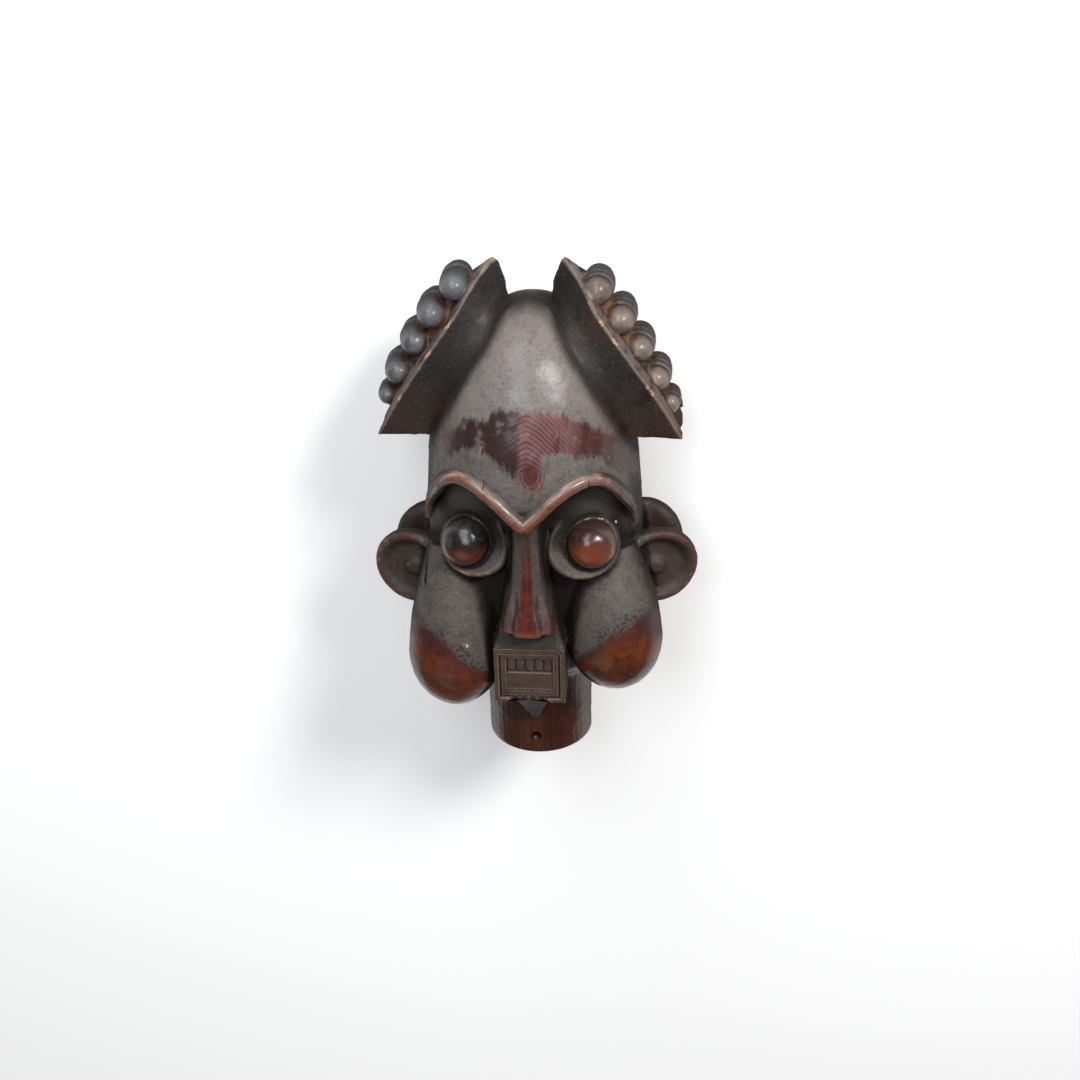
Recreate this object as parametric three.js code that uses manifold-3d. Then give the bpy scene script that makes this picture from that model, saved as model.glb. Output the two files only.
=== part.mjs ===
// A two-faced wooden mask, carved from one block and hollow from the neck. Millimetres.
// It lies on its rear face: +X is the viewer's right, +Y runs from the neck to the crown, +Z is the front
// face's forward direction. The origin is under the middle of the mask, on the surface that it lies on.
import * as THREE from "three";
import { mergeVertices } from "three/addons/utils/BufferGeometryUtils.js";
import Module from "manifold-3d";

const wasm = await Module();
wasm.setup();

// Neck and hollow
const neckRadius = 43.5; // outside of the neck
const neckWall = 10; // wood left round the hollow
const neckSides = 30;
const neckTop = 104; // the neck's cylinder ends here, inside the head
const hollowSides = 22;
const hollowDepth = 178; // from the neck's rim to the top of the hollow
const lashHole = 8; // diameter of the lash holes, one in front and one behind
const lashHeight = 16.7; // above the rim
const lashSides = 16;

// Where it lies
const restDepth = 93.5; // from the middle plane down to the surface that the rear face rests on

// The two faces: the rear one is plainer, with a lower brow and fuller cheeks, so that it lies steady
const browProud = 5.5; // how far the front brow stands out of the forehead
const rearBrowProud = 3.4;
const cheekDepth = 52; // from the middle plane to the middle of a front cheek
const rearCheekDepth = 55.5;
const faces = [
  { way: 1, detail: 1, foreheadShare: 1, browProud, cheekDepth },
  { way: -1, detail: 0.7, foreheadShare: 0.97, browProud: rearBrowProud, cheekDepth: rearCheekDepth },
];

// Head: [height, half width, half depth of the face, half depth of the forehead]
const headStations = [
  [70, 34, 34, 34],
  [76, 46, 43, 46],
  [86, 60, 50, 58],
  [102, 72, 55, 70],
  [125, 79.5, 59, 82],
  [160, 84, 62, 90],
  [200, 85.5, 62, 95],
  [243, 83.5, 64, 97],
  [272, 81, 66, 95],
  [297, 77.5, 68, 90],
  [320, 71.5, 70, 82],
  [342, 60, 64, 73],
  [360, 47.5, 55, 62],
  [374, 35, 43, 48],
  [384, 22, 27, 32],
  [389, 7, 8, 10],
];
const headRoundness = 2.2; // exponent of the level sections, 2 is an ellipse
const crownHeight = 390;
const headSides = 38;
const faceRows = [70, 76, 86, 102, 125, 155, 185, 214]; // heights of the head's rings under the brow
const foreheadRows = [260, 280, 300, 320, 338, 354, 368, 379, 387, 389]; // and over it
const browStep = 7; // height over which the forehead steps back to the face, under the brow

// Brow: [distance from the middle, height], a V between two arches
const browCurve = [
  [0, 245.5],
  [11, 256],
  [22, 266.5],
  [35, 275],
  [48, 277.5],
  [60, 271],
  [71, 254],
  [78, 236],
  [81, 217],
];
const browBand = 4.8; // half the height of the ridge
const browSteps = 26;
const browSides = 6;

// Eyes
const eyeCentre = [43, 213.5, 64]; // middle of the lid ring
const eyeTurn = 20; // degrees outward
const eyeLift = 22; // degrees upward
const lidRadius = 26.5;
const lidStretch = 1.1; // the ring is wider than tall
const lidWidth = 4;
const lidGroove = 3.5;
const ballRadius = 19;
const ballProud = 17.5; // how far the ball stands out of its lid ring
const ballShift = 6.5; // outward, within the ring
const eyeDepth = 34; // of the collar behind the ring
const eyeSides = 16;

// Nose and the column behind it
const noseTop = 247;
const noseTip = 148;
const noseStations = [
  // height, half width, front
  [noseTop, 10, 95],
  [228, 10.5, 90],
  [205, 11.5, 88],
  [180, 14.5, 91],
  [163, 19.5, 96],
  [noseTip + 3, 21.5, 98],
];
const noseRidge = 0.36; // flat of the ridge, as a share of the width
const noseBack = 54;
const noseRows = 9;
const noseSlope = 0.62; // how far its sides fall back, as a share of the half width
const columnTop = 238;
const columnTopHalf = 13;
const columnBack = 46;
const columnSet = 6; // how far it stands behind the mouth's front

// Mouth
const mouthHalf = 28;
const mouthTop = 131;
const mouthHeight = 50;
const mouthFront = 85;
const mouthBack = 20;
const lipFrame = 5.6; // width of the outer frame round the teeth
const lipStep = 2; // depth of the step inside the outer frame, and again inside the lips
const lipBand = 4.2; // width of the lips between the two steps
const toothCount = 5;
const toothHeight = 11;
const toothGap = 1.1;
const toothProud = 1.8;
const lowerGap = 2.2; // between the teeth and the slab under them
const chinHalf = 14.5;
const chinTip = 37;
const chinThick = 5; // where its tip runs out on the neck

// Cheeks: the viewer's left one hangs lower
const cheekSides = 16;
const cheekRows = 9;
const cheekTop = [57, 196, 30];
const cheekLows = { left: [62, 101], right: [65.5, 121] }; // middle of the full end
const cheekRadius = 39;
const cheekTopRadius = 25;

// Ears: the front pair and a smaller pair for the rear face
const earReach = 97; // from the middle plane to the middle of a front ear
const earHeight = 170;
const earHalf = 33; // half its width
const earTall = 32; // half its height
const rearEarReach = 88;
const rearEarHeight = 175;
const rearEarHalf = 30;
const rearEarTall = 31;
const earPairs = [
  { centre: [earReach, earHeight, 19], half: earHalf, tall: earTall, turn: 16 },
  { centre: [rearEarReach, rearEarHeight, -22], half: rearEarHalf, tall: rearEarTall, turn: 164 },
];
const earDrop = 3; // the viewer's left ears sit this far under the middle, the right ones over it
const earThick = 15;
const earRim = 6.5;
const earDish = 6;
const earLobe = 9; // radius of the boss inside
const earSides = 14;

// Crest: the front edge of each blade from its tip down to its outer point, [x, height, forward]
const bladeEdge = [
  [25, 420, 3],
  [32.5, 415, 13],
  [42.5, 403, 25],
  [52, 388, 34],
  [67, 367, 39],
  [83, 345, 41],
  [100, 318.5, 39],
  [116.6, 290, 36],
];
// where the blade runs into the dome, matched to the edge point by point
const bladeRoot = [
  [18.5, 386, 4],
  [20, 382, 14],
  [24, 374, 30],
  [31, 362, 42],
  [40, 349, 48],
  [50, 332, 49],
  [63, 311, 45],
  [72, 292, 38],
];
const bladeHollow = 4; // how far the front of the blade is dished
const tipSwell = 4; // how far the blade's tip swells toward the middle instead
const bladeLip = 13; // depth of the blade's edge, from front to back
const bladeFlare = 2.5; // how far the back of the lip stands out past its front edge
const rearBladeSet = 4; // the rear blade's edge lies this far inside the front one's
const bedDrop = 2.5; // the bed of the knobs starts this far under the lip
const bedRise = 8; // and swells this far past it in the middle
const crestSteps = 10;

// Knobs in a row between the blades, from the tip down, each a barrel that runs from front to back
const knobs = [
  { share: 0.35, radius: 12.5, left: 22, right: 18 }, // left and right: how far they reach out from the edge
  { share: 0.53, radius: 13, left: 25, right: 19.5 },
  { share: 0.67, radius: 12.5, left: 23, right: 17 },
  { share: 0.8, radius: 12, left: 20.5, right: 14 },
  { share: 0.9, radius: 8.5, left: 14.5, right: 9 },
];
const knobLength = 4.16; // from front to back, as a share of the radius
const knobSides = 9;
const knobRows = [-0.94, -0.72, -0.26, 0.26, 0.72, 0.94]; // shares of half the length

const throughCut = 10; // how far a cut runs past the wood
const groundReach = 400; // size of the block that is cut away under the mask

const degrees = Math.PI / 180;
const wood = new THREE.MeshStandardMaterial({ color: 0x3a241a, roughness: 0.5, metalness: 0 });

const mix = (a, b, t) => a + (b - a) * t;
const smooth = (t) => {
  const u = Math.min(1, Math.max(0, t));
  return u * u * (3 - 2 * u);
};
const power = (value, exponent) => Math.sign(value) * Math.abs(value) ** exponent;

// A smooth curve through rows of numbers: read by a share of its length in rows, or by its first column.
function curveThrough(rows) {
  const last = rows.length - 1;
  const atShare = (share) => {
    const place = Math.min(1, Math.max(0, share)) * last;
    const i = Math.min(last - 1, Math.floor(place));
    const t = place - i;
    const row = (k) => rows[Math.min(last, Math.max(0, k))];
    const [before, from, to, after] = [row(i - 1), row(i), row(i + 1), row(i + 2)];
    return from.map((p, k) => {
      const leave = (to[k] - before[k]) / 2;
      const arrive = (after[k] - p) / 2;
      return (
        p * (1 + 2 * t) * (1 - t) ** 2 +
        leave * t * (1 - t) ** 2 +
        to[k] * t * t * (3 - 2 * t) +
        arrive * t * t * (t - 1)
      );
    });
  };
  const atFirst = (value) => {
    const up = rows[last][0] > rows[0][0];
    let [low, high] = [0, 1];
    for (let n = 0; n < 30; n++) {
      const middle = (low + high) / 2;
      if (atShare(middle)[0] < value === up) low = middle;
      else high = middle;
    }
    return atShare((low + high) / 2);
  };
  return { atShare, atFirst };
}

// A closed solid from rings of points, each end closed by a fan to its own middle or to a given point.
function ringSolid(rings, startPoint, endPoint) {
  const sides = rings[0].length;
  const middle = (ring) => ring.reduce((sum, p) => sum.add(p), new THREE.Vector3()).divideScalar(sides);
  const points = rings.flat().concat([startPoint ?? middle(rings[0]), endPoint ?? middle(rings.at(-1))]);
  const triangles = [];
  rings.slice(1).forEach((_, row) => {
    for (let k = 0; k < sides; k++) {
      const [a, b] = [row * sides + k, row * sides + ((k + 1) % sides)];
      triangles.push(a, b, a + sides, b, b + sides, a + sides);
    }
  });
  const lastRow = (rings.length - 1) * sides;
  for (let k = 0; k < sides; k++) {
    const next = (k + 1) % sides;
    triangles.push(next, k, points.length - 2, lastRow + k, lastRow + next, points.length - 1);
  }
  const geometry = new THREE.BufferGeometry().setFromPoints(points);
  geometry.setIndex(triangles);
  return solidOf(geometry);
}

// The boolean solid of a closed geometry, with its faces turned outward.
function solidOf(geometry) {
  geometry.deleteAttribute("normal");
  geometry.deleteAttribute("uv");
  const merged = mergeVertices(geometry, 1e-4);
  const vertProperties = merged.attributes.position.array;
  const triVerts = new Uint32Array(merged.index.array);
  const solid = new wasm.Manifold(new wasm.Mesh({ numProp: 3, vertProperties, triVerts }));
  if (solid.volume() > 0) return solid;
  const turned = triVerts.map((_, i) => triVerts[i - (i % 3) + [0, 2, 1][i % 3]]);
  return new wasm.Manifold(new wasm.Mesh({ numProp: 3, vertProperties, triVerts: turned }));
}

function boxSolid([x0, x1], [y0, y1], [z0, z1]) {
  const box = new THREE.BoxGeometry(x1 - x0, y1 - y0, z1 - z0);
  return solidOf(box.translate((x0 + x1) / 2, (y0 + y1) / 2, (z0 + z1) / 2));
}

const mirrorZ = (p) => new THREE.Vector3(p.x, p.y, -p.z);
const placed = (face) => (face.way > 0 ? (p) => p : mirrorZ);
const fewer = (count, face) => 2 * Math.round((count * face.detail) / 2);

const headCurve = curveThrough(headStations);
const browLine = curveThrough(browCurve);
const browReach = browCurve.at(-1)[0];
const browFoot = browCurve[0][1];
const browHeight = (x) => browLine.atFirst(Math.min(browReach, Math.abs(x)))[1];

// A point of the head: the angle runs round the level section, cover is 1 on the forehead and 0 on the face.
function headPoint(angle, height, cover) {
  const [, half, hollow, forehead] = headCurve.atFirst(height);
  const share = faces[Math.sin(angle) < 0 ? 1 : 0].foreheadShare;
  const depth = mix(hollow, forehead * share, cover);
  const x = half * power(Math.cos(angle), 2 / headRoundness);
  const z = depth * power(Math.sin(angle), 2 / headRoundness);
  return new THREE.Vector3(x, height, z);
}

// The forehead's surface in front of (x, height).
function foreheadDepth(x, height, face) {
  const [, half, , forehead] = headCurve.atFirst(height);
  const share = Math.min(1, Math.abs(x) / half);
  return face.foreheadShare * forehead * (1 - share ** headRoundness) ** (1 / headRoundness);
}

// The rows of the head follow the brow, so that the step under it is crisp.
function head() {
  const bottom = headStations[0][0];
  const top = headStations.at(-1)[0];
  const stepRows = [browFoot - browStep, browFoot - browStep / 2, browFoot];
  const rings = [...faceRows, ...stepRows, ...foreheadRows].map((row) => {
    const cover = smooth((row - browFoot + browStep) / browStep);
    const fade = row > browFoot ? (top - row) / (top - browFoot) : (row - bottom) / (browFoot - bottom);
    return Array.from({ length: headSides }, (_, k) => {
      const angle = (k / headSides) * 2 * Math.PI;
      const level = headStations[7][1] * power(Math.cos(angle), 2 / headRoundness);
      const lift = (browHeight(level) - browFoot) * fade ** 1.5;
      return headPoint(angle, row + lift, cover);
    });
  });
  return ringSolid(rings, undefined, new THREE.Vector3(0, crownHeight, 0));
}

// One ridge from end to end, an oval section carried along the brow line.
function brow(face) {
  const place = placed(face);
  const steps = fewer(browSteps, face);
  const surface = (x) => new THREE.Vector3(x, browHeight(x), foreheadDepth(x, browHeight(x), face));
  const rings = Array.from({ length: steps + 1 }, (_, i) => {
    const x = browReach * 0.995 * Math.sin(((i / steps) * 2 - 1) * (Math.PI / 2));
    const centre = surface(x);
    const outward = new THREE.Vector3(centre.x, 0, centre.z * 1.15).normalize();
    const along = surface(x + 0.6).sub(surface(x - 0.6)).normalize();
    const down = new THREE.Vector3().crossVectors(outward, along).normalize();
    const wide = browBand * (1 + 0.15 * Math.exp(-((x / 6) ** 2)));
    const taper = mix(0.55, 1, smooth((browReach - Math.abs(x)) / 9));
    return Array.from({ length: browSides }, (_, k) => {
      const turn = (k / browSides) * 2 * Math.PI;
      const point = centre.clone().addScaledVector(outward, face.browProud * taper * Math.cos(turn));
      return place(point.addScaledVector(down, wide * taper * Math.sin(turn)));
    });
  });
  return ringSolid(rings);
}

// A bulging ball in a lid ring: rings of one outline about the eye's own axis, from the back to the front.
function eye(side, face) {
  const place = placed(face);
  const sides = fewer(eyeSides, face);
  const outline = [
    // radius, distance along the axis
    [lidRadius * 0.8, -eyeDepth],
    [lidRadius * 1.02, -eyeDepth * 0.35],
    [lidRadius, -2.5],
    [lidRadius - lidWidth * 0.4, 0],
    [lidRadius - lidWidth, -0.8],
    [ballRadius + 0.6, -lidGroove],
    [ballRadius * 0.985, 2],
    [ballRadius * 0.88, ballProud * 0.5],
    [ballRadius * 0.66, ballProud * 0.78],
    [ballRadius * 0.34, ballProud * 0.95],
  ];
  const turn = eyeTurn * degrees * side;
  const lift = eyeLift * degrees;
  const level = Math.cos(lift);
  const axis = new THREE.Vector3(Math.sin(turn) * level, Math.sin(lift), Math.cos(turn) * level);
  const across = new THREE.Vector3(0, 1, 0).cross(axis).normalize();
  const up = new THREE.Vector3().crossVectors(axis, across);
  const centre = new THREE.Vector3(eyeCentre[0] * side, eyeCentre[1], eyeCentre[2]);
  const at = (radius, along, angle) => {
    const inner = smooth((lidRadius - lidWidth - radius) / 2 + 0.5);
    const shift = ballShift * side * Math.min(1, inner) * 0.9;
    const point = centre.clone().addScaledVector(axis, along);
    point.addScaledVector(across, radius * mix(lidStretch, 1, inner) * Math.cos(angle) + shift);
    return place(point.addScaledVector(up, radius * Math.sin(angle)));
  };
  const rings = outline.map(([radius, along]) =>
    Array.from({ length: sides }, (_, k) => at(radius, along, (k / sides) * 2 * Math.PI)),
  );
  return ringSolid(rings, undefined, at(0, ballProud, 0));
}

// The nose: level sections with a flat ridge and sloping sides.
function nose(face) {
  const place = placed(face);
  const line = curveThrough(noseStations);
  const section = (height, shrink) => {
    const [, half, front] = line.atFirst(Math.max(noseTip + 3, height));
    const side = half * noseSlope;
    return [
      [-half, noseBack],
      [-half, front - side - 3],
      [-half * 0.86, front - side * 0.55],
      [-half * noseRidge, front],
      [half * noseRidge, front],
      [half * 0.86, front - side * 0.55],
      [half, front - side - 3],
      [half, noseBack],
    ].map(([x, z]) => place(new THREE.Vector3(x * shrink, height, mix(noseBack, z, shrink))));
  };
  const rings = Array.from({ length: noseRows }, (_, i) =>
    section(mix(noseTop, noseTip + 3, i / (noseRows - 1)), 1),
  );
  rings.push(section(noseTip, 0.92));
  return ringSolid(rings);
}

// The column between nose and mouth, widening downward to the mouth.
function column(face) {
  const place = placed(face);
  const rows = [
    [columnTop, columnTopHalf, mouthFront - 14],
    [mix(columnTop, mouthTop, 0.5), mix(columnTopHalf, mouthHalf, 0.25), mouthFront - 12],
    [noseTip + 6, mix(columnTopHalf, mouthHalf, 0.62), mouthFront - columnSet],
    [noseTip - 4, mix(columnTopHalf, mouthHalf, 0.74), mouthFront - columnSet + 1],
    [mouthTop - 1, mouthHalf - 0.4, mouthFront - 0.4],
    [mouthTop - 8, mouthHalf - 0.6, mouthFront - 2],
  ];
  const rings = rows.map(([height, half, front]) =>
    [
      [-half, columnBack],
      [-half, front - 3],
      [-half + 2.4, front],
      [half - 2.4, front],
      [half, front - 3],
      [half, columnBack],
    ].map(([x, z]) => place(new THREE.Vector3(x, height, z))),
  );
  return ringSolid(rings);
}

// The box-like mouth: a frame and lips in two steps, an upper row of teeth and a plain slab under them.
function mouth(face) {
  const bottom = mouthTop - mouthHeight;
  const at = (x, y, [back, front]) => boxSolid(x, y, face.way > 0 ? [back, front] : [-front, -back]);
  const opening = (inset, depth) => {
    const half = mouthHalf - inset;
    return at([-half, half], [bottom + inset, mouthTop - inset], [mouthFront - depth, mouthFront + 5]);
  };
  const inset = lipFrame + lipBand;
  const floor = mouthFront - 2 * lipStep;
  const half = mouthHalf - inset;
  const top = mouthTop - inset;
  const pitch = (2 * half) / toothCount;
  const teeth = Array.from({ length: toothCount }, (_, i) => {
    const left = -half + i * pitch + toothGap / 2;
    return at([left, left + pitch - toothGap], [top - toothHeight, top + 1], [floor - 1, floor + toothProud]);
  });
  const slab = [bottom + inset - 1, top - toothHeight - lowerGap];
  return [
    at([-mouthHalf, mouthHalf], [bottom, mouthTop], [mouthBack, mouthFront])
      .subtract(opening(lipFrame, lipStep))
      .subtract(opening(inset, 2 * lipStep)),
    ...teeth,
    at([-half - 1, half + 1], slab, [floor - 1, floor + toothProud]),
  ].reduce((whole, solid) => whole.add(solid));
}

// A pointed chin that runs from under the mouth down onto the neck.
function chin(face) {
  const place = placed(face);
  const bottom = mouthTop - mouthHeight;
  const back = neckRadius - neckWall / 2;
  const ring = (height, half, front) =>
    [
      [-half, back],
      [-half, front - half * 0.2],
      [0, front],
      [half, front - half * 0.2],
      [half, back],
    ].map(([x, z]) => place(new THREE.Vector3(x, height, z)));
  return ringSolid([
    ring(bottom + 2, chinHalf, mouthFront - 4),
    ring(bottom - 2, chinHalf, mouthFront - 5),
    ring(mix(bottom, chinTip, 0.55), chinHalf * 0.6, mix(mouthFront, neckRadius + chinThick, 0.68)),
    ring(chinTip, 1, neckRadius + chinThick * 0.4),
  ]);
}

// A hanging cheek: a chain of round sections from under the eye to the full, low end.
function cheek(side, face) {
  const place = placed(face);
  const sides = fewer(cheekSides, face);
  const [lowX, lowY] = side < 0 ? cheekLows.left : cheekLows.right;
  const top = new THREE.Vector3(cheekTop[0] * side, cheekTop[1], cheekTop[2]);
  const bottom = new THREE.Vector3(lowX * side, lowY, face.cheekDepth);
  const axis = bottom.clone().sub(top);
  const length = axis.length();
  axis.normalize();
  const across = new THREE.Vector3(1, 0, 0).addScaledVector(axis, -axis.x).normalize();
  const front = new THREE.Vector3().crossVectors(across, axis).normalize();
  const total = length + cheekRadius;
  const radiusAt = (s) => {
    const body = mix(cheekTopRadius, cheekRadius, Math.sin(Math.min(1, s / (length * 0.9)) * (Math.PI / 2)));
    const past = Math.max(0, s - length * 0.92) / (total - length * 0.92);
    return body * Math.sqrt(Math.max(0, 1 - past ** 1.9));
  };
  const rings = Array.from({ length: cheekRows }, (_, i) => {
    const s = total * 0.985 * Math.sin((i / (cheekRows - 1)) * (Math.PI / 2)) ** 0.9;
    return Array.from({ length: sides }, (_, k) => {
      const angle = (k / sides) * 2 * Math.PI;
      const point = top.clone().addScaledVector(axis, s);
      point.addScaledVector(across, radiusAt(s) * Math.cos(angle));
      return place(point.addScaledVector(front, radiusAt(s) * Math.sin(angle)));
    });
  });
  const lowest = top.clone().addScaledVector(axis, total);
  return ringSolid(rings, undefined, place(lowest));
}

// A round ear with a raised rim, a dished middle and a small boss.
function ear(side, { centre, half, tall, turn }) {
  const outline = [
    // share of the radius or radius less rim, distance along the ear's axis
    [0.8, 0, -earThick * 0.5],
    [1, 0, -earThick * 0.2],
    [1, 0, earThick * 0.3],
    [1, earRim * 0.45, earThick * 0.5],
    [1, earRim, earThick * 0.42],
    [0.98, earRim * 1.5, earThick * 0.5 - earDish],
    [0, -earLobe, earThick * 0.5 - earDish],
    [0, -earLobe * 0.6, earThick * 0.5 - earDish * 0.35],
  ];
  const angle = turn * degrees * side;
  const axis = new THREE.Vector3(Math.sin(angle), 0, Math.cos(angle));
  const across = new THREE.Vector3(Math.cos(angle), 0, -Math.sin(angle));
  const rings = outline.map(([share, less, along]) =>
    Array.from({ length: earSides }, (_, k) => {
      const t = (k / earSides) * 2 * Math.PI;
      const point = new THREE.Vector3(centre[0] * side, 0, centre[2]).addScaledVector(axis, along);
      point.addScaledVector(across, (half * share - less) * Math.cos(t));
      return point.setY(centre[1] + earDrop * side + (tall * share - less) * Math.sin(t));
    }),
  );
  return ringSolid(rings);
}

// One crest: sections that run from the dome out along the front blade, over the lip and the knobs' bed,
// and back along the rear blade.
function crest(side) {
  const edge = curveThrough(bladeEdge);
  const root = curveThrough(bladeRoot);
  const rings = Array.from({ length: crestSteps + 1 }, (_, i) => {
    const t = i / crestSteps;
    const [ex, ey, ez] = edge.atShare(t);
    const [rx, ry, rz] = root.atShare(t);
    const [ax, ay] = edge.atShare(Math.max(0, t - 0.02));
    const [bx, by] = edge.atShare(Math.min(1, t + 0.02));
    const length = Math.hypot(bx - ax, by - ay);
    const [ox, oy] = [-(by - ay) / length, (bx - ax) / length];
    const lip = Math.min(bladeLip, ez * 0.75);
    const flat = smooth((1 - t) * 6);
    const level = (y) => Math.max(y, bladeEdge.at(-1)[1]);
    const swell = bedRise * Math.sin(Math.PI * smooth(t));
    const tip = smooth(1 - 6 * t);
    const half = (inset) => {
      const [x, y] = [ex - ox * inset * flat, ey - oy * inset * flat];
      const dish = bladeHollow * 0.4 * (1 - tip);
      return [
        [rx * 0.65, ry - 6 * flat, rz * 0.4],
        [rx, ry, rz],
        [(rx + x) / 2 - ox * dish - tipSwell * tip, (ry + y) / 2 - oy * dish, (rz + ez) / 2 - bladeHollow],
        [x, y, ez],
        [x + ox * bladeFlare * flat, y + oy * bladeFlare * flat, ez - lip],
        [x - ox * bedDrop, y - oy * bedDrop * flat, ez - lip - 1.5],
        [ex + ox * swell, ey + oy * swell, (ez - lip) * 0.35],
      ].map(([px, py, pz]) => new THREE.Vector3(px * side, level(py), pz));
    };
    return [...half(0), ...half(rearBladeSet).map(mirrorZ).reverse()];
  });
  return ringSolid(rings);
}

// A barrel of a knob on the crest's bed: round sections from the rear to the front, closed at both ends.
function knob(side, { share, radius, left, right }) {
  const edge = curveThrough(bladeEdge);
  const [ex, ey] = edge.atShare(share);
  const [ax, ay] = edge.atShare(share - 0.03);
  const [bx, by] = edge.atShare(share + 0.03);
  const length = Math.hypot(bx - ax, by - ay);
  const outward = new THREE.Vector3((-(by - ay) / length) * side, (bx - ax) / length, 0);
  const along = new THREE.Vector3(((bx - ax) / length) * side, (by - ay) / length, 0);
  const reach = side < 0 ? left : right;
  const centre = new THREE.Vector3(ex * side, ey, 0).addScaledVector(outward, reach - radius);
  const half = (radius * knobLength) / 2;
  const rings = knobRows.map((row) => {
    const wide = radius * (1 - Math.abs(row) ** 2.6) ** (1 / 2.2);
    return Array.from({ length: knobSides }, (_, k) => {
      const angle = (k / knobSides) * 2 * Math.PI;
      const point = centre.clone().addScaledVector(outward, wide * Math.cos(angle));
      return point.addScaledVector(along, wide * Math.sin(angle)).setZ(row * half);
    });
  });
  return ringSolid(rings, centre.clone().setZ(-half), centre.clone().setZ(half));
}

const circle = (radius, height, sides) =>
  Array.from({ length: sides }, (_, k) => {
    const angle = (k / sides) * 2 * Math.PI;
    return new THREE.Vector3(radius * Math.cos(angle), height, radius * Math.sin(angle));
  });

// The neck runs up inside the head; its bottom is the flat rim.
function neck() {
  return ringSolid([circle(neckRadius, 0, neckSides), circle(neckRadius, neckTop, neckSides)]);
}

// The hollow: a round bore with a domed end.
function hollow() {
  const bore = neckRadius - neckWall;
  const shoulder = hollowDepth - bore;
  const rings = [circle(bore, -throughCut, hollowSides), circle(bore, shoulder, hollowSides)];
  [0.35, 0.65, 0.9].forEach((t) => {
    rings.push(circle(bore * Math.sqrt(1 - t * t), shoulder + bore * t, hollowSides));
  });
  return ringSolid(rings, undefined, new THREE.Vector3(0, hollowDepth, 0));
}

// One straight hole through the front wall and the rear wall of the neck.
function lashHoles() {
  const ring = (z) =>
    Array.from({ length: lashSides }, (_, k) => {
      const angle = (k / lashSides) * 2 * Math.PI;
      const radius = lashHole / 2;
      return new THREE.Vector3(radius * Math.cos(angle), lashHeight + radius * Math.sin(angle), z);
    });
  return ringSolid([ring(-neckRadius - throughCut), ring(neckRadius + throughCut)]);
}

function janusMask() {
  const solids = [head(), neck()];
  for (const face of faces) {
    solids.push(brow(face), nose(face), column(face), mouth(face), chin(face));
    for (const side of [-1, 1]) solids.push(cheek(side, face), eye(side, face));
  }
  for (const side of [-1, 1]) {
    for (const pair of earPairs) solids.push(ear(side, pair));
    solids.push(crest(side));
    for (const size of knobs) solids.push(knob(side, size));
  }
  const body = solids.reduce((whole, solid) => whole.add(solid));
  const under = boxSolid(
    [-groundReach, groundReach],
    [-groundReach, groundReach * 2],
    [-groundReach, -restDepth],
  );
  return body.subtract(hollow()).subtract(lashHoles()).subtract(under);
}

function meshOf(solid, name) {
  const { vertProperties, triVerts } = solid.getMesh();
  const geometry = new THREE.BufferGeometry();
  geometry.setAttribute("position", new THREE.BufferAttribute(new Float32Array(vertProperties), 3));
  geometry.setIndex(new THREE.BufferAttribute(new Uint32Array(triVerts), 1));
  geometry.computeBoundingBox();
  const { min, max } = geometry.boundingBox;
  geometry.translate(-(min.x + max.x) / 2, -(min.y + max.y) / 2, -min.z);
  geometry.computeVertexNormals();
  const mesh = new THREE.Mesh(geometry, wood);
  mesh.name = name;
  return mesh;
}

const mask = new THREE.Group();
mask.add(meshOf(janusMask(), "janus_mask"));

export default mask;
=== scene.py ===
import bpy
import math
import openvdb
import numpy as np
from mathutils import Matrix, Vector


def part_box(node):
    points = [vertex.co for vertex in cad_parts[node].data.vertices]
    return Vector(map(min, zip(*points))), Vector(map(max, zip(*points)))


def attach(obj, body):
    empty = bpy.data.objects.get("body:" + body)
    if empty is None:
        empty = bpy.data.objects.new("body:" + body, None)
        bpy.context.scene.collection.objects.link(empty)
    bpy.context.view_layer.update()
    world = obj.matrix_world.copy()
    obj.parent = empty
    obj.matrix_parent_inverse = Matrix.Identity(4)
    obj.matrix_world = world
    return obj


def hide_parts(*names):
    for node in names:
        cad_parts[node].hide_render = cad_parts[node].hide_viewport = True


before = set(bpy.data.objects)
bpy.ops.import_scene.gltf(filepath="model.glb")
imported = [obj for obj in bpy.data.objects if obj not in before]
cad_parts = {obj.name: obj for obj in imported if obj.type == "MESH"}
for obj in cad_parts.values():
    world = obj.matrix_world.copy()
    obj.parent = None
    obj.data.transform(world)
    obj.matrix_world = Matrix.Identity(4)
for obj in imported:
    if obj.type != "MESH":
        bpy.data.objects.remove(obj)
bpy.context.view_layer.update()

# The mask is worked out in millimetres in its own frame: x to the viewer's right, y up from the neck's rim,
# z forward. This puts it where it lies: the rim at the box's lowest y, the rear face on the ground.
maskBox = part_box("janus_mask")
lie = {"restDepth": 93.5, "rimY": float(maskBox[0][1]), "midX": float(maskBox[0][0] + maskBox[1][0]) / 2}


def toWorld(points):
    return np.stack([points[:, 0] / 1000 + lie["midX"],
                     points[:, 1] / 1000 + lie["rimY"],
                     (points[:, 2] + lie["restDepth"]) / 1000], axis=-1)


# Small shared mathematics

def mix(a, b, t):
    return a + (b - a) * t


def smooth(t):
    u = np.clip(t, 0, 1)
    return u * u * (3 - 2 * u)


def power(value, exponent):
    return np.sign(value) * np.abs(value) ** exponent


def bell(distance, width):
    return np.exp(-(distance / width) ** 2)


def unit(v):
    return v / np.linalg.norm(v, axis=-1, keepdims=True)


def fullTurn(sides):
    return np.linspace(0, 2 * math.pi, sides, endpoint=False)


def reached(start, *legs):
    # start plus each direction times its own lengths over a grid
    for direction, length in legs:
        start = start + direction * length[..., None]
    return start


def rowsBetween(rows, shares):
    return np.array([mix(a, b, t) for a, b in zip(rows, rows[1:]) for t in shares])


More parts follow.
